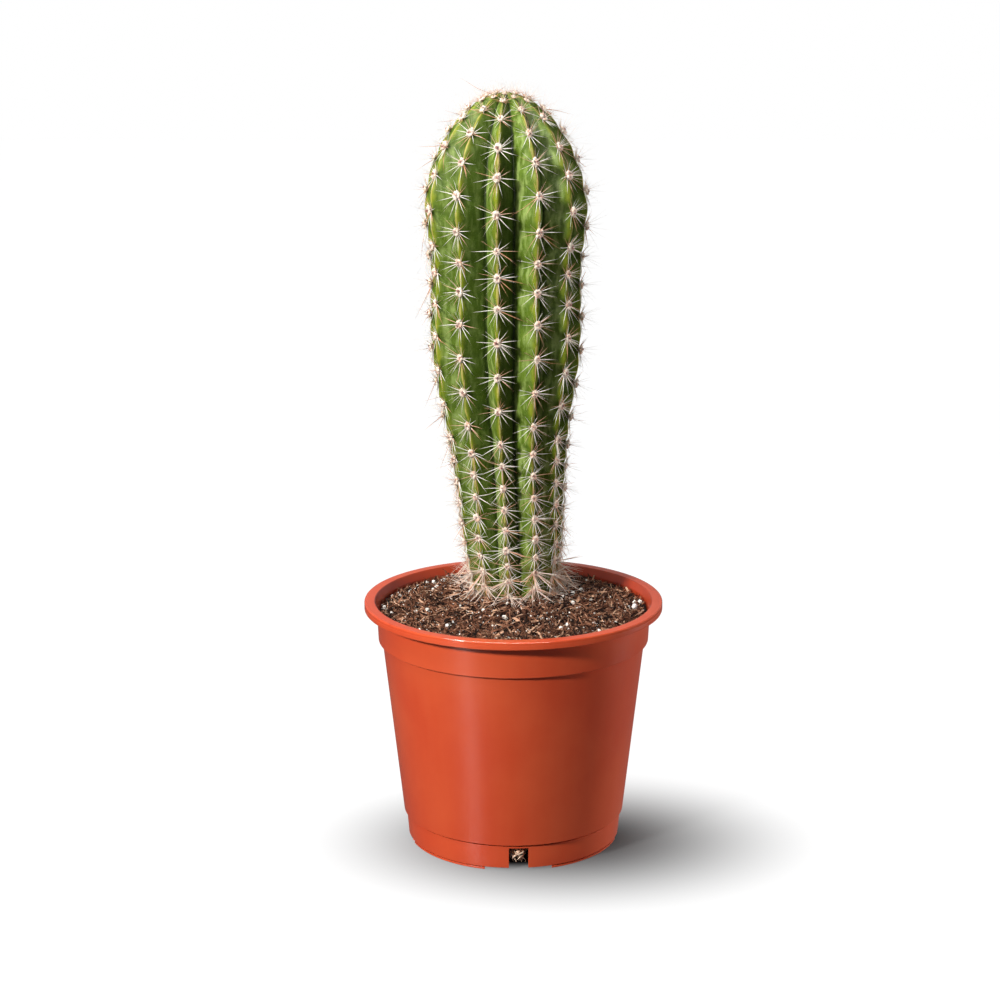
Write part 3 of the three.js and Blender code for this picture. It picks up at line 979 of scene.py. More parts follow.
@dataclass(frozen=True)
class StemShape:
    """The form of the ribbed stem, which its skin, areoles and spines share.

    Each knot of the outline is a height and a crest radius, in millimetres. Each pair in areole_steps is a
    count of steps and their length in millimetres.
    """

    outline: tuple[Pair, ...] = (
        (118, 22.5), (144, 24.2), (176, 28.4), (205, 30.7), (235, 34.2),
        (262, 38.8), (285, 41.7), (305, 42.1), (328, 41.7), (358, 45))
    dome_foot: float = 358 * MM
    dome_radius: float = 45 * MM
    dome_rise: float = 1.9
    dome_round: float = 0.55
    foot: float = 118.4 * MM
    top: float = 424.4 * MM
    back: float = 14 * MM
    lean_foot: Pair = (145 * MM, 0.6 * MM)
    lean_head: Pair = (255 * MM, -4.3 * MM)
    rib_count: int = 12
    rib_azimuth: float = math.radians(-6)
    furrow_depth: float = 0.33
    # The turn of a flank from its rib and the azimuth of the painted light set how much painted light or
    # painted shade each flank of the skin gets.
    flank_turn: float = math.radians(60)
    painted_light_azimuth: float = math.radians(-58)
    fade_bottom: float = 130 * MM
    fade_top: float = 190 * MM
    fade_depth: float = 0.16
    front_spread: float = math.radians(11)
    front_spread_top: float = 235 * MM
    first_areole: float = 144.7 * MM
    areole_steps: tuple[Pair, ...] = (
        (3, 9.3), (2, 12), (3, 12.8), (3, 19.2), (1, 18.2), (1, 17), (1, 14.8), (2, 19.2), (2, 15), (1, 9),
        (1, 3.4))
    flank_curve: float = 0.97
    crest_flat: Pair = (0.02, 0.06)
    pinch: float = 0.45 * MM
    bulge: float = 0.45 * MM
    weave: float = 0.014
    calm_tip: float = 20 * MM

    def areole_heights(self) -> list[float]:
        """The heights of the areole rows, from the soil up.

        Returns:
            One height for each row.
        """
        heights = [self.first_areole]
        for count, step in self.areole_steps:
            for _ in range(int(count)):
                heights.append(heights[-1] + step * MM)
        return heights

    def areole_height(self, step: float) -> float:
        """The height at a whole or half step of the areoles.

        Args:
            step: the step, counted up the rib.

        Returns:
            The height.
        """
        heights = self.areole_heights()
        below = min(int(step), len(heights) - 2)
        return lerp(heights[below], heights[below + 1], step - below)

    def step_at(self, height: float) -> float:
        """The areole step at a height.

        Args:
            height: the height.

        Returns:
            The step, with a part of one between two areoles, and below 0 under the first.
        """
        heights = self.areole_heights()
        if height <= heights[0]:
            return (height - heights[0]) / (heights[1] - heights[0])
        for index, (low, high) in enumerate(zip(heights, heights[1:])):
            if height < high:
                return index + (height - low) / (high - low)
        return float(len(heights) - 1)

    def crest_radius(self, height: float) -> float:
        """The radius of the rib crests: a swelling column under a blunt dome.

        Args:
            height: where it is measured.

        Returns:
            The radius.
        """
        if height >= self.dome_foot:
            rise = clamp((height - self.dome_foot) / (self.top - self.dome_foot))
            return self.dome_radius * (1 - rise ** self.dome_rise) ** self.dome_round
        knots = [(knot * MM, radius * MM) for knot, radius in self.outline]
        index = 0
        while index < len(knots) - 2 and height > knots[index + 1][0]:
            index += 1

        def slope(at: int) -> float:
            """The slope of the curve at a knot.

            Args:
                at: the knot's number.

            Returns:
                The slope.
            """
            low = knots[max(at - 1, 0)]
            high = knots[min(at + 1, len(knots) - 1)]
            return (high[1] - low[1]) / (high[0] - low[0])

        (start, first), (end, second) = knots[index], knots[index + 1]
        span = end - start
        share = (height - start) / span
        square = share * share
        cube = square * share
        return (
            (2 * cube - 3 * square + 1) * first + (cube - 2 * square + share) * span * slope(index)
            + (3 * square - 2 * cube) * second + (cube - square) * span * slope(index + 1))

    def middle(self, height: float) -> Vector:
        """The middle of the stem at a height.

        Args:
            height: the height.

        Returns:
            The point on the stem's axis.
        """
        low, high = self.lean_foot, self.lean_head
        share = clamp((height - low[0]) / (high[0] - low[0]))
        return Vector((lerp(low[1], high[1], share), self.back, height))

    def spread(self, azimuth: float, height: float) -> float:
        """Low down the ribs are spread in front and closer together behind."""
        low = clamp((self.front_spread_top - height) / (self.front_spread_top - self.first_areole))
        return azimuth + self.front_spread * low * math.sin(azimuth)

    def depth(self, height: float) -> float:
        """How deep the furrows cut, as a share of the crest radius.

        Args:
            height: where it is measured.

        Returns:
            The share.
        """
        low = clamp((height - self.fade_bottom) / (self.first_areole - self.fade_bottom))
        high = smoothstep(height, self.first_areole, self.fade_top)
        return lerp(self.fade_depth * low, self.furrow_depth, high)

    def swell(self, rib: int, step: float) -> float:
        """How far a rib is from its areoles: 0 at one, 1 half-way to the next."""
        offset = 0.5 * (rib % 2)
        return 0.5 - 0.5 * math.cos(FULL_TURN * (step - offset))

    def flank_cut(self, across: float, swell: float) -> float:
        """How far down its flank a point lies: a flat crest, widest between areoles, and straight flanks."""
        flat = lerp(*self.crest_flat, swell)
        return clamp((across - flat) / (1 - flat)) ** self.flank_curve

    def crest_lift(self, swell: float, radius: float) -> float:
        """How far the crest stands above or below the plain form."""
        return lerp(-self.pinch, self.bulge, swell) * smoothstep(radius, 0, self.calm_tip)

    def crest_point(self, rib: int, height: float, lift: float = 0.0) -> Vector:
        """A point on the crest of a rib, or a little above it.

        Args:
            rib: the rib's number.
            height: the height.
            lift: how far above the crest it is.

        Returns:
            The point.
        """
        azimuth = self.rib_azimuth + FULL_TURN * rib / self.rib_count
        radius = self.crest_radius(height)
        return polar(radius + lift, self.spread(azimuth, height)) + self.middle(height)


@dataclass(frozen=True)
class Areole:
    """The place, directions and age of one areole, and its step up the rib."""

    step: float
    place: Vector
    along: Vector
    across: Vector
    out: Vector
    age: float

    def toward(self, turn: float, tilt: float) -> Vector:
        """The direction that is turned from up the rib and tilted from straight out."""
        sideways = self.along * math.cos(turn) + self.across * math.sin(turn)
        return (self.out * math.cos(tilt) + sideways * math.sin(tilt)).normalized()


@dataclass
class Stem:
    """The stem's skin and the woolly areoles on its ribs."""

    shape: StemShape = StemShape()
    columns_per_rib: int = 24
    rows: int = 312
    low_rows: int = 6
    samples: int = 3000
    soil_line: float = 136 * MM
    waves: tuple[Pair, ...] = ((0.4 * MM, 30 * MM), (0.13 * MM, 6 * MM))
    smooth_tip: float = 12 * MM
    crest_share: float = 0.15
    young_steps: Pair = (-0.5, 3.0)
    slope_span: float = 2 * MM
    skin: SkinFinish = SkinFinish()
    wool: WoolFinish = WoolFinish()
    wool_shapes: int = 6
    wool_waves: tuple[Pair, ...] = ((0.22, 0.55),)
    wool_girth: Pair = (0.92, 1.12)
    knob_growth: Pair = (0.5, 1.0)
    knob_sizes: Pair = (0.9, 1.12)
    knob_up_rib: Pair = (0.84, 1.04)
    knob_steps: float = 16
    pad_radius: float = 1.5 * MM
    pad_lift: float = 0.45 * MM
    tufts: int = 7
    tuft_turns: float = 0.25
    tuft_ring: float = 1.3 * MM
    ring_stretch: float = 0.25
    ring_spread: Pair = (0.85, 1.1)
    tuft_radius: float = 1.04 * MM
    tuft_sizes: Pair = (0.75, 1.15)
    tuft_lift: float = 1.3 * MM
    lift_spread: Pair = (0.8, 1.2)
    eye_radius: float = 0.85 * MM
    eye_lift: float = 2.2 * MM
    eye_tilt: float = math.radians(20)
    draw: Random = field(default_factory=lambda: Random(31))

    def row_heights(self) -> list[float]:
        """The heights of the skin's rows, evenly spaced along its outline.

        Returns:
            One height for each row.
        """
        samples = self.samples
        heights = [lerp(self.soil_line, self.shape.top, index / samples) for index in range(samples + 1)]
        lengths = [0.0]
        for low, high in zip(heights, heights[1:]):
            widening = self.shape.crest_radius(high) - self.shape.crest_radius(low)
            lengths.append(lengths[-1] + math.hypot(high - low, widening))
        rows = [self.shape.foot]
        for index in range(self.low_rows):
            rows.append(lerp(self.shape.foot, self.soil_line, index / self.low_rows))
        place = 0
        steps = self.rows - len(rows)
        for index in range(steps + 1):
            target = lengths[-1] * index / steps
            while place < samples - 1 and lengths[place + 1] < target:
                place += 1
            share = (target - lengths[place]) / (lengths[place + 1] - lengths[place])
            rows.append(lerp(heights[place], heights[place + 1], clamp(share)))
        return rows

    def build_skin(self) -> None:
        """Makes the ribbed skin."""
        form = self.shape
        heights = self.row_heights()
        radii = [form.crest_radius(height) for height in heights]
        radii[0] = 0.0
        radii[-1] = 0.0
        middles = [form.middle(height) for height in heights]
        depths = [form.depth(height) for height in heights]
        steps = [form.step_at(height) for height in heights]
        pitch = FULL_TURN / form.rib_count
        half = self.columns_per_rib / 2

        def place(column: int, row: int) -> tuple[Vector, tuple[float, ...]]:
            """A point of the skin, and how far it lies across its rib, from an areole and towards the
            painted light.

            Args:
                column: its place round the stem.
                row: its place up the stem.

            Returns:
                The point, and its across, swell and painted light side.
            """
            rib, part = divmod(column, self.columns_per_rib)
            share = part / self.columns_per_rib
            owner = rib if part < half else rib + 1
            side = 1 if part < half else -1
            across = 1 - abs(part - half) / half
            step = steps[row]
            swell = form.swell(owner, step)
            sway = -form.weave * math.cos(FULL_TURN * step) * (1 if rib % 2 == 0 else -1)
            radius = radii[row]
            woven = share + sway * math.sin(math.pi * share) * smoothstep(radius, 0, form.calm_tip)
            azimuth = form.rib_azimuth + (rib + woven) * pitch
            out = radius * (1 - depths[row] * form.flank_cut(across, swell))
            out += form.crest_lift(swell, radius) * (1 - across * across)
            point = polar(out, form.spread(azimuth, heights[row])) + middles[row]
            uneven = ripples(point, self.waves) * smoothstep(radius, 0, self.smooth_tip)
            # Painted light: a flank that faces the painted light gets a value near 1 and the far side near
            # 0; the skin turns this into painted shade.
            facing = azimuth + form.flank_turn * clamp(across / self.crest_share) * side
            sun = 0.5 + 0.5 * math.cos(facing - form.painted_light_azimuth)
            return point + polar(uneven, azimuth), (across, swell, sun)

        columns = form.rib_count * self.columns_per_rib
        skin = wrapped_grid(columns, self.rows, ("across", "swell", "sun"), place)
        piece = put_in_scene("stem_skin", skin, self.skin.material())
        mount_piece(piece, "cactus_stem")

    def areoles(self) -> list[Areole]:
        """The areoles of all ribs, at whole steps on one rib and half steps on the next.

        Returns:
            The areoles, rib by rib from the soil up.
        """
        form = self.shape
        last = len(form.areole_heights()) - 1
        found = []
        for rib in range(form.rib_count):
            step = -0.5 * (rib % 2)
            while step <= last:
                height = form.areole_height(step)
                span = min(self.slope_span, (form.top - height) / 2)
                rise = form.crest_point(rib, height + span) - form.crest_point(rib, height - span)
                along = rise.normalized()
                azimuth = form.rib_azimuth + FULL_TURN * rib / form.rib_count
                across = along.cross(polar(1.0, form.spread(azimuth, height))).normalized()
                out = across.cross(along).normalized()
                lift = form.crest_lift(0.0, form.crest_radius(height))
                age = smoothstep(last - step, *self.young_steps)
                found.append(Areole(step, form.crest_point(rib, height, lift), along, across, out, age))
                step += 1
        return found

    def wool_template(self, detail: int, flatness: float, pad: float) -> Template:
        """One uneven knob of wool of radius 1.

        Args:
            detail: how finely it is divided.
            flatness: its height as a share of its width.
            pad: 1 for the brown pad and eye, 0 for a pale tuft.

        Returns:
            The template.
        """
        shape = bmesh.new()
        bmesh.ops.create_icosphere(shape, subdivisions=detail, radius=1.0)
        shift = Vector([self.draw.uniform(0, 50) for _ in range(3)])
        for corner in shape.verts:
            corner.co *= 1 + ripples(corner.co + shift, self.wool_waves)
        bmesh.ops.scale(shape, vec=(*self.wool_girth, flatness), verts=shape.verts)
        return as_template(shape, {"pad": lambda point: pad})

    def build_wool(self) -> None:
        """Makes the areoles: a brown pad under a ring of pale tufts round a brown eye."""
        draw = self.draw
        pads = [self.wool_template(2, 0.62, 1.0) for _ in range(self.wool_shapes)]
        eyes = [self.wool_template(1, 0.9, 1.0) for _ in range(self.wool_shapes)]
        tufts = [self.wool_template(1, 0.9, 0.0) for _ in range(self.wool_shapes)]
        heap = Heap(("pad",))

        def place(template: Template, areole: Areole, middle: Vector, size: float) -> None:
            """Adds a knob that lies along its rib."""
            basis = Matrix((areole.across, areole.along, areole.out)).transposed().to_4x4()
            heap.add(template, Matrix.Translation(middle) @ basis @ Matrix.Scale(size, 4))

        for areole in self.areoles():
            grown = lerp(*self.knob_growth, areole.age) * draw.uniform(*self.knob_sizes)
            grown *= lerp(*self.knob_up_rib, clamp(areole.step / self.knob_steps))
            middle = areole.place + areole.out * self.pad_lift * grown
            place(draw.choice(pads), areole, middle, self.pad_radius * grown)
            eye = areole.toward(draw.uniform(0, FULL_TURN), self.eye_tilt) * self.eye_lift
            place(draw.choice(eyes), areole, areole.place + eye * grown, self.eye_radius * grown)
            first = draw.uniform(0, FULL_TURN)
            count = self.tufts + draw.choice((-1, 0, 1))
            for number in range(count):
                turn = first + FULL_TURN * number / count + draw.uniform(-self.tuft_turns, self.tuft_turns)
                offset = areole.toward(turn, math.pi / 2) + areole.along * self.ring_stretch * math.cos(turn)
                offset = offset * self.tuft_ring * draw.uniform(*self.ring_spread)
                offset += areole.out * self.tuft_lift * draw.uniform(*self.lift_spread)
                template = draw.choice(tufts)
                size = self.tuft_radius * grown * draw.uniform(*self.tuft_sizes)
                place(template, areole, areole.place + offset * grown, size)
        piece = put_in_scene("areole_wool", heap.shape, self.wool.material())
        mount_piece(piece, "cactus_stem")


@dataclass(frozen=True)
class SpineForm:
    """How one kind of spine is shaped, in shares of its length, and how it stands.

    Its tilts are in degrees and its lengths in millimetres. The kinds without them stand in the radial ring.
    """

    thickness: float
    bulb: float
    tone: float
    bends: tuple[float, ...]
    tilts: Pair = (0.0, 0.0)
    lengths: Pair = (0.0, 0.0)


class SpineKind(Enum):
    """The kinds of spine that an areole bears."""

    RADIAL = SpineForm(0.0195, 1.7, 0.05, (-0.05, 0.0, 0.04, 0.08))
    TAN = SpineForm(0.0165, 1.7, 0.44, (-0.06, 0.0, 0.06))
    CENTRAL = SpineForm(0.045, 1.8, 0.85, (0.0, 0.05), (5, 42), (2.38, 4.25))
    STRAY = SpineForm(0.0095, 2.0, 0.6, (-0.16, 0.12, 0.2), (55, 78), (15, 24))
    LONG = SpineForm(0.014, 1.9, 0.08, (-0.03, 0.02), (58, 76), (15, 19))
    SKIRT = SpineForm(0.0185, 1.5, 0.22, (-0.12, -0.05, 0.06), (20, 80), (12, 22))
    YOUNG = SpineForm(0.016, 1.7, 0.56, (-0.08, 0.06))
    HAIR = SpineForm(0.0036, 1.6, 0.2, (-0.06, 0.05), (8, 58), (11, 17))


@dataclass
class Spines:
    """The spines on every areole, with the skirt of spines that splays over the soil.

    Tilts are in degrees from straight out, and turns in radians from up the rib. A pair that ends in growth
    is the share at a young and at a grown areole.
    """

    stem: Stem
    ground: Callable[[float, float], float]
    soil_gap: float = 2.2 * MM
    low_step: float = 8.0
    sides: int = 5
    bulb_height: float = 0.08
    bend_height: float = 0.5
    girths: Pair = (1.15, 1.3)
    length_growth: Pair = (0.36, 1.0)
    radials: int = 14
    low_radials: int = 2
    radial_length: float = 11.2 * MM
    radial_lengths: Pair = (0.78, 1.14)
    upper_length: float = 0.68
    turn_spread: float = 0.16
    radial_tilts: Pair = (82, 66)
    tilt_spread: Pair = (-9, 5)
    tilt_growth: Pair = (0.75, 1.0)
    young_tan: float = 0.75
    upper_tan: float = 0.6
    side_tan: Pair = (0.2, 0.3)
    root_ring: float = 1.8 * MM
    ring_growth: Pair = (0.55, 1.0)
    ring_spread: Pair = (0.85, 1.15)
    ring_tilt: float = math.radians(84)
    ring_lift: float = 0.3 * MM
    central_counts: tuple[int, ...] = (1, 1, 2, 2)
    central_root_tilt: float = math.radians(60)
    central_reach: float = 0.5 * MM
    central_lift: float = 1.5 * MM
    hairs: int = 12
    hair_growth: Pair = (0.68, 1.0)
    stray_share: float = 0.5
    stray_turns: tuple[float, ...] = (2.0, 2.0, -2.0, math.pi)
    stray_spread: float = 0.4
    long_share: Pair = (0.04, 0.35)
    long_spread: float = 0.7
    skirt_steps: float = 1.6
    skirt_spines: int = 10
    skirt_kinds: tuple[SpineKind, ...] = (SpineKind.SKIRT, SpineKind.SKIRT, SpineKind.SKIRT, SpineKind.TAN)
    skirt_spread: float = 1.75
    skirt_ring: Pair = (0.6, 1.6)
    skirt_ring_tilt: float = math.radians(80)
    finish: SpineFinish = SpineFinish()
    draw: Random = field(default_factory=lambda: Random(47))
    templates: dict[SpineKind, list[Template]] = field(default_factory=dict)

    def template(self, form: SpineForm, bend: float) -> Template:
        """One spine of length 1 along +Z, with a bulb at its root.

        Args:
            form: its kind's shape.
            bend: how far its tip leans, as a share of its length.

        Returns:
            The template.
        """
        shape = bmesh.new()
        bmesh.ops.create_cone(
            shape, cap_ends=True, segments=self.sides, radius1=form.thickness, radius2=0.0, depth=1.0,
            matrix=Matrix.Translation((0, 0, 0.5)))
        for height in (self.bulb_height, self.bend_height):
            everything = shape.verts[:] + shape.edges[:] + shape.faces[:]
            bmesh.ops.bisect_plane(shape, geom=everything, plane_co=(0, 0, height), plane_no=(0, 0, 1))
        low_girth, high_girth = self.girths
        for corner in shape.verts:
            height = corner.co.z
            is_low = height < (self.bulb_height + self.bend_height) / 2
            girth = lerp(form.bulb, low_girth, clamp(height / self.bulb_height)) if is_low else high_girth
            corner.co.x = corner.co.x * girth + bend * height * height
            corner.co.y *= girth
        return as_template(shape, {"along": lambda point: point.z, "tone": lambda point: form.tone})

    def add(self, heap: Heap, kind: SpineKind, root: Vector, direction: Vector, length: float) -> None:
        """Adds one spine, kept off the soil.

        Args:
            heap: the mesh that it joins.
            kind: its kind.
            root: where it leaves the wool.
            direction: where it points.
            length: how long it is.
        """
        tip = root + direction * length
        lowest = self.ground(tip.x, tip.y) + self.soil_gap
        if tip.z < lowest:
            tip.z = lowest
            direction = (tip - root).normalized()
        template = self.draw.choice(self.templates[kind])
        heap.add(template, aimed(root, direction, length, self.draw.uniform(0, FULL_TURN)))

    def sprout(
        self, heap: Heap, areole: Areole, kind: SpineKind, turn: float, growth: float = 1.0,
        root: Vector = Vector()
    ) -> None:
        """Adds one spine of a kind that has tilts and lengths of its own.

        Args:
            heap: the mesh that it joins.
            areole: where it grows.
            kind: its kind.
            turn: where it heads.
            growth: how much of its length it has.
            root: where it starts, from the middle of the areole.
        """
        direction = areole.toward(turn, math.radians(self.draw.uniform(*kind.value.tilts)))
        length = self.draw.uniform(*kind.value.lengths) * MM * growth
        self.add(heap, kind, areole.place + root, direction, length)

    def add_radials(self, heap: Heap, areole: Areole, low: float) -> None:
        """Adds the ring of spines that lie nearly flat, tan ones and young ones among them.

        Args:
            heap: the mesh that they join.
            areole: where they grow.
            low: 1 at the foot of the stem, 0 higher up.
        """
        draw = self.draw
        count = self.radials + draw.choice((-1, 0, 0, 1)) + round(self.low_radials * low)
        first = draw.uniform(0, FULL_TURN)
        for number in range(count):
            turn = first + FULL_TURN * number / count + draw.uniform(-self.turn_spread, self.turn_spread)
            upward = math.cos(turn)
            tilt = math.radians(lerp(*self.radial_tilts, clamp(upward)) + draw.uniform(*self.tilt_spread))
            tilt *= lerp(*self.tilt_growth, areole.age)
            grown_tan = self.upper_tan if upward > 0.5 else self.side_tan[0] + self.side_tan[1] * low
            is_tan = draw.random() < lerp(self.young_tan, grown_tan, areole.age)
            kind = SpineKind.TAN if is_tan else SpineKind.RADIAL
            if draw.random() > areole.age:
                kind = SpineKind.YOUNG
            length = self.radial_length * lerp(1.0, self.upper_length, clamp(upward))
            length *= draw.uniform(*self.radial_lengths)
            length *= lerp(*self.length_growth, areole.age)
            ring = self.root_ring * lerp(*self.ring_growth, areole.age) * draw.uniform(*self.ring_spread)
            base = areole.place + areole.toward(turn, self.ring_tilt) * ring + areole.out * self.ring_lift
            self.add(heap, kind, base, areole.toward(turn, tilt), length)

    def add_centrals(self, heap: Heap, areole: Areole) -> None:
        """Adds the one or two short dark spines in the middle of an areole.

        Args:
            heap: the mesh that they join.
            areole: where they grow.
        """
        growth = lerp(*self.length_growth, areole.age)
        for _ in range(self.draw.choice(self.central_counts)):
            turn = self.draw.uniform(0, FULL_TURN)
            root = areole.toward(turn, self.central_root_tilt) * self.central_reach
            root += areole.out * self.central_lift
            self.sprout(heap, areole, SpineKind.CENTRAL, turn, growth, root)

    def dress_areole(self, heap: Heap, areole: Areole) -> None:
        """Adds the radial spines, central spines and hairs of an areole, and long ones here and there.

        Args:
            heap: the mesh that they join.
            areole: where they grow.
        """
        draw = self.draw
        low = smoothstep(areole.step, self.low_step, 0.0)
        self.add_radials(heap, areole, low)
        self.add_centrals(heap, areole)
        for _ in range(self.hairs):
            growth = lerp(*self.hair_growth, areole.age)
            self.sprout(heap, areole, SpineKind.HAIR, draw.uniform(0, FULL_TURN), growth)
        if draw.random() < self.stray_share * areole.age:
            turn = draw.choice(self.stray_turns) + draw.uniform(-self.stray_spread, self.stray_spread)
            self.sprout(heap, areole, SpineKind.STRAY, turn)
        least_share, low_share = self.long_share
        if draw.random() < low_share * low + least_share:
            turn = math.pi + draw.uniform(-self.long_spread, self.long_spread)
            self.sprout(heap, areole, SpineKind.LONG, turn)

    def dress_skirt(self, heap: Heap, areole: Areole) -> None:
        """Adds the dense spines that splay over the soil from a low areole.

        Args:
            heap: the mesh that they join.
            areole: where they grow.
        """
        draw = self.draw
        for _ in range(self.skirt_spines):
            turn = math.pi + draw.uniform(-self.skirt_spread, self.skirt_spread)
            direction = areole.toward(turn, math.radians(draw.uniform(*SpineKind.SKIRT.value.tilts)))
            outward = areole.toward(turn, self.skirt_ring_tilt)
            base = areole.place + outward * draw.uniform(*self.skirt_ring) * MM
            kind = draw.choice(self.skirt_kinds)
            length = draw.uniform(*SpineKind.SKIRT.value.lengths) * MM
            self.add(heap, kind, base, direction, length)

    def build(self) -> None:
        """Makes all spines, as one piece for the upper part of the stem and one for the lower."""
        self.templates = {
            kind: [self.template(kind.value, bend) for bend in kind.value.bends] for kind in SpineKind}
        upper = Heap(("along", "tone"))
        lower = Heap(("along", "tone"))
        for areole in self.stem.areoles():
            self.dress_areole(upper if areole.step > self.low_step else lower, areole)
            if areole.step <= self.skirt_steps:
                self.dress_skirt(lower, areole)
        material = self.finish.material()
        for name, heap in (("upper_spines", upper), ("lower_spines", lower)):
            mount_piece(put_in_scene(name, heap.shape, material), "cactus_stem")


class GrainForm(Enum):
    """The kinds of grain in the potting mix."""

    SHRED = "shred"
    FIBRE = "fibre"
    CRUMB = "crumb"
    PERLITE = "perlite"
    FLECK = "fleck"


LONG_GRAINS = (GrainForm.SHRED, GrainForm.FIBRE)
WHITE_GRAINS = (GrainForm.PERLITE, GrainForm.FLECK)


@dataclass(frozen=True)
class GrainMix:
    """How many grains of one kind there are, and how long they are."""

    form: GrainForm
    count: int
    least: float
    most: float
    bury: float


@dataclass
class Soil:
    """The potting mix: a dark bed, bark shreds, fibres, peat crumbs and perlite.

    The sizes of a grain's own form, and how far it keeps from the wall, are shares of its length.
    """

    stem: StemShape
    pot: Pot
    clearance: float = 0.4 * MM
    edge: float = 134.5 * MM
    heap: float = 7 * MM
    heap_reach: float = 42 * MM
    heap_radius: float = 24.6 * MM
    hole_radius: float = 20.5 * MM
    hole_floor: float = 118 * MM
    hole_cover: float = 1 * MM
    columns: int = 256
    rings: int = 44
    relief: float = 1.0 * MM
    waves: tuple[Pair, ...] = ((1.0, 11 * MM), (0.6, 4 * MM))
    sink: float = 0.4 * MM
    bed_grain: tuple[Pair, ...] = ((0.5 * MM, 1.6 * MM),)
    bed_tone: float = 0.04
    shred_width: Pair = (0.09, 0.18)
    fibre_width: Pair = (0.035, 0.07)
    thickness: Pair = (0.22, 0.5)
    bend: Pair = (0.15, 0.8)
    bend_middle: float = 0.1
    sway: float = 0.4
    twist: float = 2.4
    taper: Pair = (0.3, 0.75)
    lump_waves: tuple[Pair, ...] = ((0.42, 0.34),)
    lump_height: Pair = (0.6, 0.85)
    shortness: float = 2.5
    wall_room: float = 0.25
    wall_turn: float = 0.55
    wall_spread: float = 0.25
    long_tilt: float = 0.45
    long_roll: float = 1.0
    lifts: Pair = (-0.2, 1.2)
    white_lift: float = 0.5 * MM
    rest_lift: float = 0.3
    bark: BarkFinish = BarkFinish()
    perlite: PerliteFinish = PerliteFinish()
    draw: Random = field(default_factory=lambda: Random(5))
    tone_shapes: int = 3
    tones: tuple[float, ...] = (0.03, 0.14, 0.26, 0.36, 0.46, 0.6, 0.86)
    white_tones: tuple[float, ...] = (1.0,) * 8
    mixes: tuple[GrainMix, ...] = (
        GrainMix(GrainForm.SHRED, 4400, 3.2 * MM, 10.0 * MM, 0.1),
        GrainMix(GrainForm.FIBRE, 3600, 3.6 * MM, 11.0 * MM, 0.0),
        GrainMix(GrainForm.CRUMB, 3000, 0.7 * MM, 2.1 * MM, 0.2),
        GrainMix(GrainForm.PERLITE, 150, 0.9 * MM, 3.5 * MM, 0.1),
        GrainMix(GrainForm.FLECK, 1250, 0.35 * MM, 1.1 * MM, 0.0))

    def foot(self) -> Vector:
        """The middle of the stem where it meets the soil."""
        return Vector((self.stem.lean_foot[1], self.stem.back, 0.0))

    def inner_radius(self) -> float:
        """The radius of the soil's surface at the pot's wall."""
        return self.pot.band_top - self.pot.wall - 2 * self.clearance

    def plain_height(self, x: float, y: float) -> float:
        """The height of the soil, heaped round the stem, without its relief.

        Args:
            x: its place to the right.
            y: its place to the back.

        Returns:
            The height.
        """
        middle = self.foot()
        outward = math.hypot(x - middle.x, y - middle.y) - self.heap_radius
        return self.edge + self.heap * (1 - smoothstep(outward, 0, self.heap_reach))

    def height(self, x: float, y: float) -> float:
        """The height of the soil's surface with its relief."""
        point = Vector((x, y, 0.0))
        return self.plain_height(x, y) + self.relief * ripples(point, self.waves) - self.sink

    def build_bed(self) -> None:
        """Makes the closed body of soil with its uneven surface."""
        pot = self.pot
        inner = self.inner_radius()
        inset = pot.wall + self.clearance
        walls = [
            (0.0, pot.floor_top + self.clearance),
            (pot.wall_foot - inset, pot.floor_top + self.clearance),
            (pot.wall_top - inset, pot.band_foot_height - pot.wall / 2),
            (pot.band_foot - inset, pot.band_foot_height + 2 * pot.step + self.clearance),
        ]
        rows = len(walls) + self.rings + 2
        middle = self.foot()

        def place(column: int, row: int) -> tuple[Vector, tuple[float]]:
            """A point of the soil and its tone.

            Args:
                column: its place round the pot.
                row: its place from the floor to the hole.

            Returns:
                The point, and its tone.
            """
            azimuth = FULL_TURN * column / self.columns
            if row < len(walls):
                return polar(walls[row][0], azimuth, walls[row][1]), (self.bed_tone,)
            ring = row - len(walls)
            inward = clamp(ring / self.rings)
            radius = 0.0 if row == rows else lerp(inner, self.hole_radius, inward)
            point = polar(radius, azimuth) + middle * inward
            if ring <= self.rings:
                point.z = self.height(point.x, point.y) + ripples(point, self.bed_grain)
            else:
                point.z = self.hole_floor
            return point, (self.bed_tone,)

        bed = wrapped_grid(self.columns, rows, ("tone",), place)
        mount_piece(put_in_scene("soil_bed", bed, self.bark.material()), "soil")

    def splinter(self, widths: Pair) -> Shape:
        """A bent, twisted and tapering chip of bark, 1 long.

        Args:
            widths: the least and the greatest width.

        Returns:
            The mesh.
        """
        draw = self.draw
        shape = bmesh.new()
        width = draw.uniform(*widths)
        thick = width * draw.uniform(*self.thickness)
        bmesh.ops.create_cube(shape, size=1.0)
        long_edges = [edge for edge in shape.edges if abs(edge.verts[0].co.x - edge.verts[1].co.x) > 0.5]
        bmesh.ops.subdivide_edges(shape, edges=long_edges, cuts=3, use_grid_fill=True)
        bend = draw.choice((-1, 1)) * draw.uniform(*self.bend)
        sway = draw.uniform(-self.sway, self.sway)
        twist = draw.uniform(-self.twist, self.twist)
        for corner in shape.verts:
            along = corner.co.x
            taper = 1 - draw.uniform(*self.taper) * (2 * abs(along)) ** 2
            side = corner.co.y * width * taper
            rise = corner.co.z * thick * taper
            turn = twist * along
            arch = bend * (along * along - self.bend_middle)
            corner.co.y = side * math.cos(turn) - rise * math.sin(turn) + sway * math.sin(math.pi * along)
            corner.co.z = side * math.sin(turn) + rise * math.cos(turn) + arch
        return shape

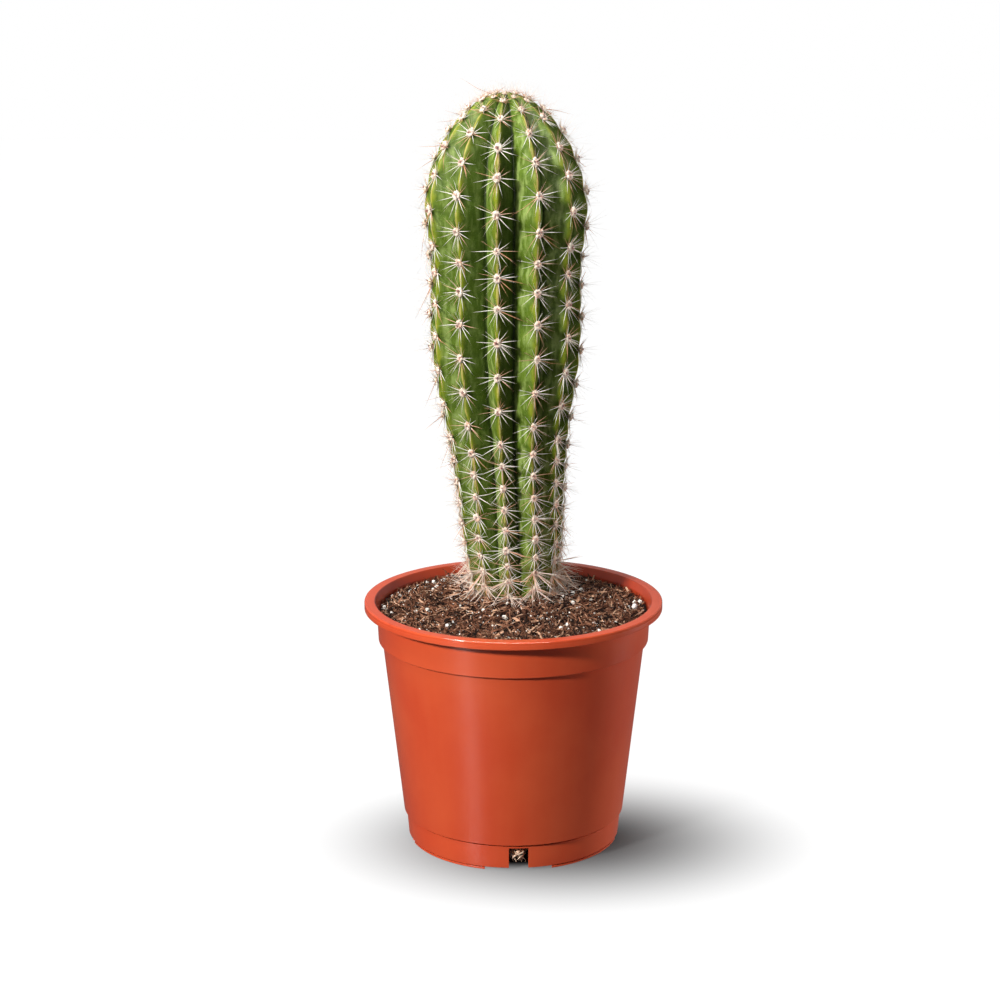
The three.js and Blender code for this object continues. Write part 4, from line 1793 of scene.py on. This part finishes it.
    def lump(self, detail: int) -> Shape:
        """An uneven rounded lump, 1 across.

        Args:
            detail: how finely it is divided.

        Returns:
            The mesh.
        """
        shape = bmesh.new()
        bmesh.ops.create_icosphere(shape, subdivisions=detail, radius=0.5)
        shift = Vector((self.draw.uniform(0, 90), 0, 0))
        flat = self.draw.uniform(*self.lump_height)
        for corner in shape.verts:
            corner.co *= 1 + ripples(corner.co + shift, self.lump_waves)
            corner.co.z *= flat
        return shape

    def template(self, form: GrainForm, tone: float) -> Template:
        """One grain, 1 long.

        Args:
            form: its kind.
            tone: how pale it is.

        Returns:
            The template.
        """
        if form in LONG_GRAINS:
            shape = self.splinter(self.shred_width if form is GrainForm.SHRED else self.fibre_width)
        else:
            shape = self.lump(2 if form is GrainForm.PERLITE else 1)
        bmesh.ops.recalc_face_normals(shape, faces=shape.faces)
        return as_template(shape, {"tone": lambda point: tone})

    def scatter(self, heap: Heap, mix: GrainMix) -> None:
        """Scatters one kind of grain over the surface.

        Args:
            heap: the mesh that they join.
            mix: their kind, number and sizes.
        """
        draw = self.draw
        is_white = mix.form in WHITE_GRAINS
        is_long = mix.form in LONG_GRAINS
        tones = self.white_tones if is_white else self.tones
        templates = [self.template(mix.form, tone) for tone in tones for _ in range(self.tone_shapes)]
        middle = self.foot()
        reach = self.inner_radius()
        placed = 0
        while placed < mix.count:
            x = draw.uniform(-reach, reach)
            y = draw.uniform(-reach, reach)
            length = lerp(mix.least, mix.most, draw.random() ** self.shortness)
            if math.hypot(x, y) > reach - self.wall_room * length:
                continue
            if math.hypot(x - middle.x, y - middle.y) < self.hole_radius - self.hole_cover:
                continue
            placed += 1
            heading = draw.uniform(0, FULL_TURN)
            if math.hypot(x, y) > reach - self.wall_turn * length:
                heading = math.atan2(y, x) + math.pi / 2 + draw.uniform(-self.wall_spread, self.wall_spread)
            tilt = draw.gauss(0, self.long_tilt) if is_long else draw.uniform(0, FULL_TURN)
            roll = draw.gauss(0, self.long_roll) if is_long else draw.uniform(0, FULL_TURN)
            lift = draw.uniform(*self.lifts) * MM + (self.white_lift if is_white else 0.0)
            rest = (self.rest_lift - mix.bury) * length * (self.rest_lift if is_long else 1.0)
            place = Matrix.Translation((x, y, self.height(x, y) + lift + rest))
            for angle, axis in ((heading, "Z"), (tilt, "Y"), (roll, "X")):
                place = place @ Matrix.Rotation(angle, 4, axis)
            heap.add(draw.choice(templates), place @ Matrix.Scale(length, 4))

    def build_grains(self) -> None:
        """Makes the loose grains, as one piece for each kind."""
        groups = {
            "bark_shreds": (GrainForm.SHRED,),
            "bark_fibres": (GrainForm.FIBRE,),
            "peat_crumbs": (GrainForm.CRUMB,),
            "perlite_grains": WHITE_GRAINS,
        }
        bark = self.bark.material()
        perlite = self.perlite.material()
        for name, forms in groups.items():
            heap = Heap(("tone",))
            for mix in self.mixes:
                if mix.form in forms:
                    self.scatter(heap, mix)
            is_white = forms is WHITE_GRAINS
            piece = put_in_scene(name, heap.shape, perlite if is_white else bark, smooth=False)
            mount_piece(piece, "soil")


@dataclass
class RootTuft:
    """The nearly black peat and the curled roots that hang out of the drain hole behind the front notch."""

    pot: Pot
    roots: int = 24
    hairs: int = 30
    root_radius: float = 0.75 * MM
    hair_radius: float = 0.2 * MM
    radius_spread: Pair = (0.7, 1.2)
    end_radius: float = 0.45
    sides: int = 6
    steps: int = 14
    lowest: float = 3.2 * MM
    falls: Pair = (0.35, 1.0)
    sag: float = 1.4
    start: float = 0.8
    swing: float = 0.75 * math.pi
    reach: float = 5.8 * MM
    reaches: Pair = (0.45, 1.0)
    curls: Pair = (0.8, 2.6)
    forward: float = 4.4 * MM
    plug_radius: float = 4.1 * MM
    plug_waves: tuple[Pair, ...] = ((0.16, 2.6 * MM), (0.1, 0.8 * MM))
    plug_tone: float = 0.25
    finish: RootFinish = RootFinish()
    # The plug's peat is nearly black, darker than the soil's bark.
    peat: BarkFinish = BarkFinish(
        "near_black_peat", srgb(10, 6, 4), srgb(26, 15, 10), srgb(60, 36, 24), srgb(96, 60, 40))
    draw: Random = field(default_factory=lambda: Random(12))

    def strand(self, radius: float) -> Shape:
        """One curled strand from the clump.

        Args:
            radius: how thick it is at its start.

        Returns:
            The closed tube.
        """
        draw = self.draw
        top = self.pot.floor_top - self.start * self.plug_radius
        turn = draw.uniform(0, FULL_TURN)
        curl = draw.uniform(*self.curls) * draw.choice((-1, 1))
        fall = draw.uniform(*self.falls) * (top - self.lowest)
        reach = draw.uniform(*self.reaches) * self.reach
        shares = [index / self.steps for index in range(self.steps + 1)]
        route = []
        for share in shares:
            out = reach * math.sin(self.swing * share)
            route.append(polar(out, turn + curl * share, top - fall * share ** self.sag))
        return swept(route, [radius * lerp(1.0, self.end_radius, share) for share in shares], self.sides)

    def build_plug(self) -> None:
        """Makes the plug of nearly black peat in the drain hole."""
        plug = bmesh.new()
        tone = plug.verts.layers.float.new("tone")
        bmesh.ops.create_icosphere(plug, subdivisions=4, radius=self.plug_radius)
        for corner in plug.verts:
            corner.co *= 1 + ripples(corner.co, self.plug_waves)
            corner[tone] = self.plug_tone
        height = self.pot.floor_top - self.plug_radius
        middle = polar(self.pot.drain_distance, self.pot.notch_azimuth, height)
        bmesh.ops.translate(plug, vec=middle, verts=plug.verts)
        mount_piece(put_in_scene("peat_plug", plug, self.peat.material()), "drain_roots")

    def build_roots(self) -> None:
        """Makes the roots that hang round the plug."""
        heap = Heap(())
        sizes = [self.root_radius] * self.roots + [self.hair_radius] * self.hairs
        for size in sizes:
            radius = size * self.draw.uniform(*self.radius_spread)
            heap.add(as_template(self.strand(radius), {}), Matrix.Identity(4))
        middle = polar(self.pot.drain_distance + self.forward, self.pot.notch_azimuth)
        bmesh.ops.translate(heap.shape, vec=middle, verts=heap.shape.verts)
        mount_piece(put_in_scene("root_tuft", heap.shape, self.finish.material()), "drain_roots")


@dataclass(frozen=True)
class SoftBox:
    """A large soft light that faces the plant."""

    name: str
    azimuth: float
    elevation: float
    distance: float
    width: float
    height: float
    power: float
    lights_matt: bool = True
    lights_gloss: bool = True
    target: Triple = (0.0, 0.0, 0.2)

    def build(self) -> None:
        """Hangs the light."""
        data = bpy.data.lights.new(self.name, "AREA")
        data.shape = "RECTANGLE"
        data.size = self.width
        data.size_y = self.height
        data.energy = self.power
        lamp = bpy.data.objects.new(self.name, data)
        lamp.visible_diffuse = self.lights_matt
        lamp.visible_glossy = self.lights_gloss
        bpy.context.scene.collection.objects.link(lamp)
        elevation = math.radians(self.elevation)
        out = polar(math.cos(elevation), math.radians(self.azimuth), math.sin(elevation))
        lamp.location = Vector(self.target) + out * self.distance
        lamp.rotation_euler = out.to_track_quat("Z", "Y").to_euler()


@dataclass(frozen=True)
class Studio:
    """The white floor, the soft lights and the camera at the photograph's viewing angle."""

    camera_place: Triple = (0.0, -1.1422, 0.4749)
    camera_pitch: float = math.radians(76.4)
    lens: float = 74.87
    shift: float = -0.0134
    floor_size: float = 6.0
    shade_radius: float = 58 * MM
    shade_drop: float = 0.2 * MM
    shade_colour: Colour = (0.1, 0.1, 0.1)
    white: Colour = (1.0, 1.0, 1.0)
    matt_light: Fade = (-0.15, 0.15, 0.12, 0.05)
    gloss_light: Fade = (-0.15, 0.15, 0.13, 0.38)
    boxes: tuple[SoftBox, ...] = (
        SoftBox("key_box", -44, 25, 1.8, 0.2, 0.2, 40),
        SoftBox("top_box", -50, 75, 1.6, 1.2, 1.2, 24),
        SoftBox("bounce_box", 105, -14, 1.0, 0.5, 0.5, 6.6, lights_gloss=False),
        SoftBox("strip_card", -42, -26, 1.2, 0.13, 0.8, 1.3, lights_matt=False, target=(0.0, 0.0, 0.07)),
        SoftBox("edge_card", -16, 48, 1.2, 1.5, 0.15, 38, lights_matt=False, target=(0.0, 0.0, 0.14)),
    )

    def build_floor(self) -> None:
        """Lays the floor."""
        shape = bmesh.new()
        bmesh.ops.create_grid(shape, x_segments=2, y_segments=2, size=self.floor_size)
        floor = put_in_scene("floor", shape, FloorFinish().material())
        floor.visible_diffuse = False
        floor.visible_glossy = False
        floor.visible_shadow = False

    def build_shade(self) -> None:
        """Lays a dark disc under the pot, which keeps the light of the surroundings out of its foot."""
        shape = bmesh.new()
        bmesh.ops.create_circle(shape, cap_ends=True, segments=96, radius=self.shade_radius)
        bmesh.ops.translate(shape, vec=(0, 0, -self.shade_drop), verts=shape.verts)
        shade = put_in_scene("shade_disc", shape, ShaderGraph("shade").finish(Base_Color=self.shade_colour))
        shade.visible_camera = False

    def build_surround(self) -> None:
        """Makes the surroundings: white to the camera, and a soft light that changes with height."""
        graph = ShaderGraph("surround", surroundings=True)
        rise = graph.height()
        paths = graph.node("ShaderNodeLightPath", {}).outputs
        matt = graph.fade(rise, *self.matt_light)
        gloss = graph.fade(rise, *self.gloss_light)
        feeds = {"Value": paths["Is Glossy Ray"], "To Min": matt, "To Max": gloss}
        strength = graph.node("ShaderNodeMapRange", feeds).outputs["Result"]
        strength = graph.math("MAXIMUM", strength, paths["Is Camera Ray"])
        bpy.context.scene.world = graph.finish(Color=self.white, Strength=strength)

    def build_camera(self) -> None:
        """Sets up the camera."""
        data = bpy.data.cameras.new("camera")
        data.lens = self.lens
        data.shift_x = self.shift
        camera = bpy.data.objects.new("camera", data)
        camera.location = self.camera_place
        camera.rotation_euler = (self.camera_pitch, 0, 0)
        bpy.context.scene.collection.objects.link(camera)
        bpy.context.scene.camera = camera

    def build(self) -> None:
        """Makes the whole studio."""
        bpy.context.scene.view_settings.view_transform = "Standard"
        self.build_camera()
        self.build_floor()
        self.build_shade()
        self.build_surround()
        for box in self.boxes:
            box.build()


def main() -> None:
    """Builds the studio and every piece."""
    logging.basicConfig(level=logging.INFO, format="%(name)s: %(message)s")
    Studio().build()
    pot = Pot()
    pot.build()
    stem = Stem()
    stem.build_skin()
    stem.build_wool()
    soil = Soil(stem.shape, pot)
    soil.build_bed()
    soil.build_grains()
    Spines(stem, soil.plain_height).build()
    tuft = RootTuft(pot)
    tuft.build_plug()
    tuft.build_roots()


if __name__ == "__main__":
    main()
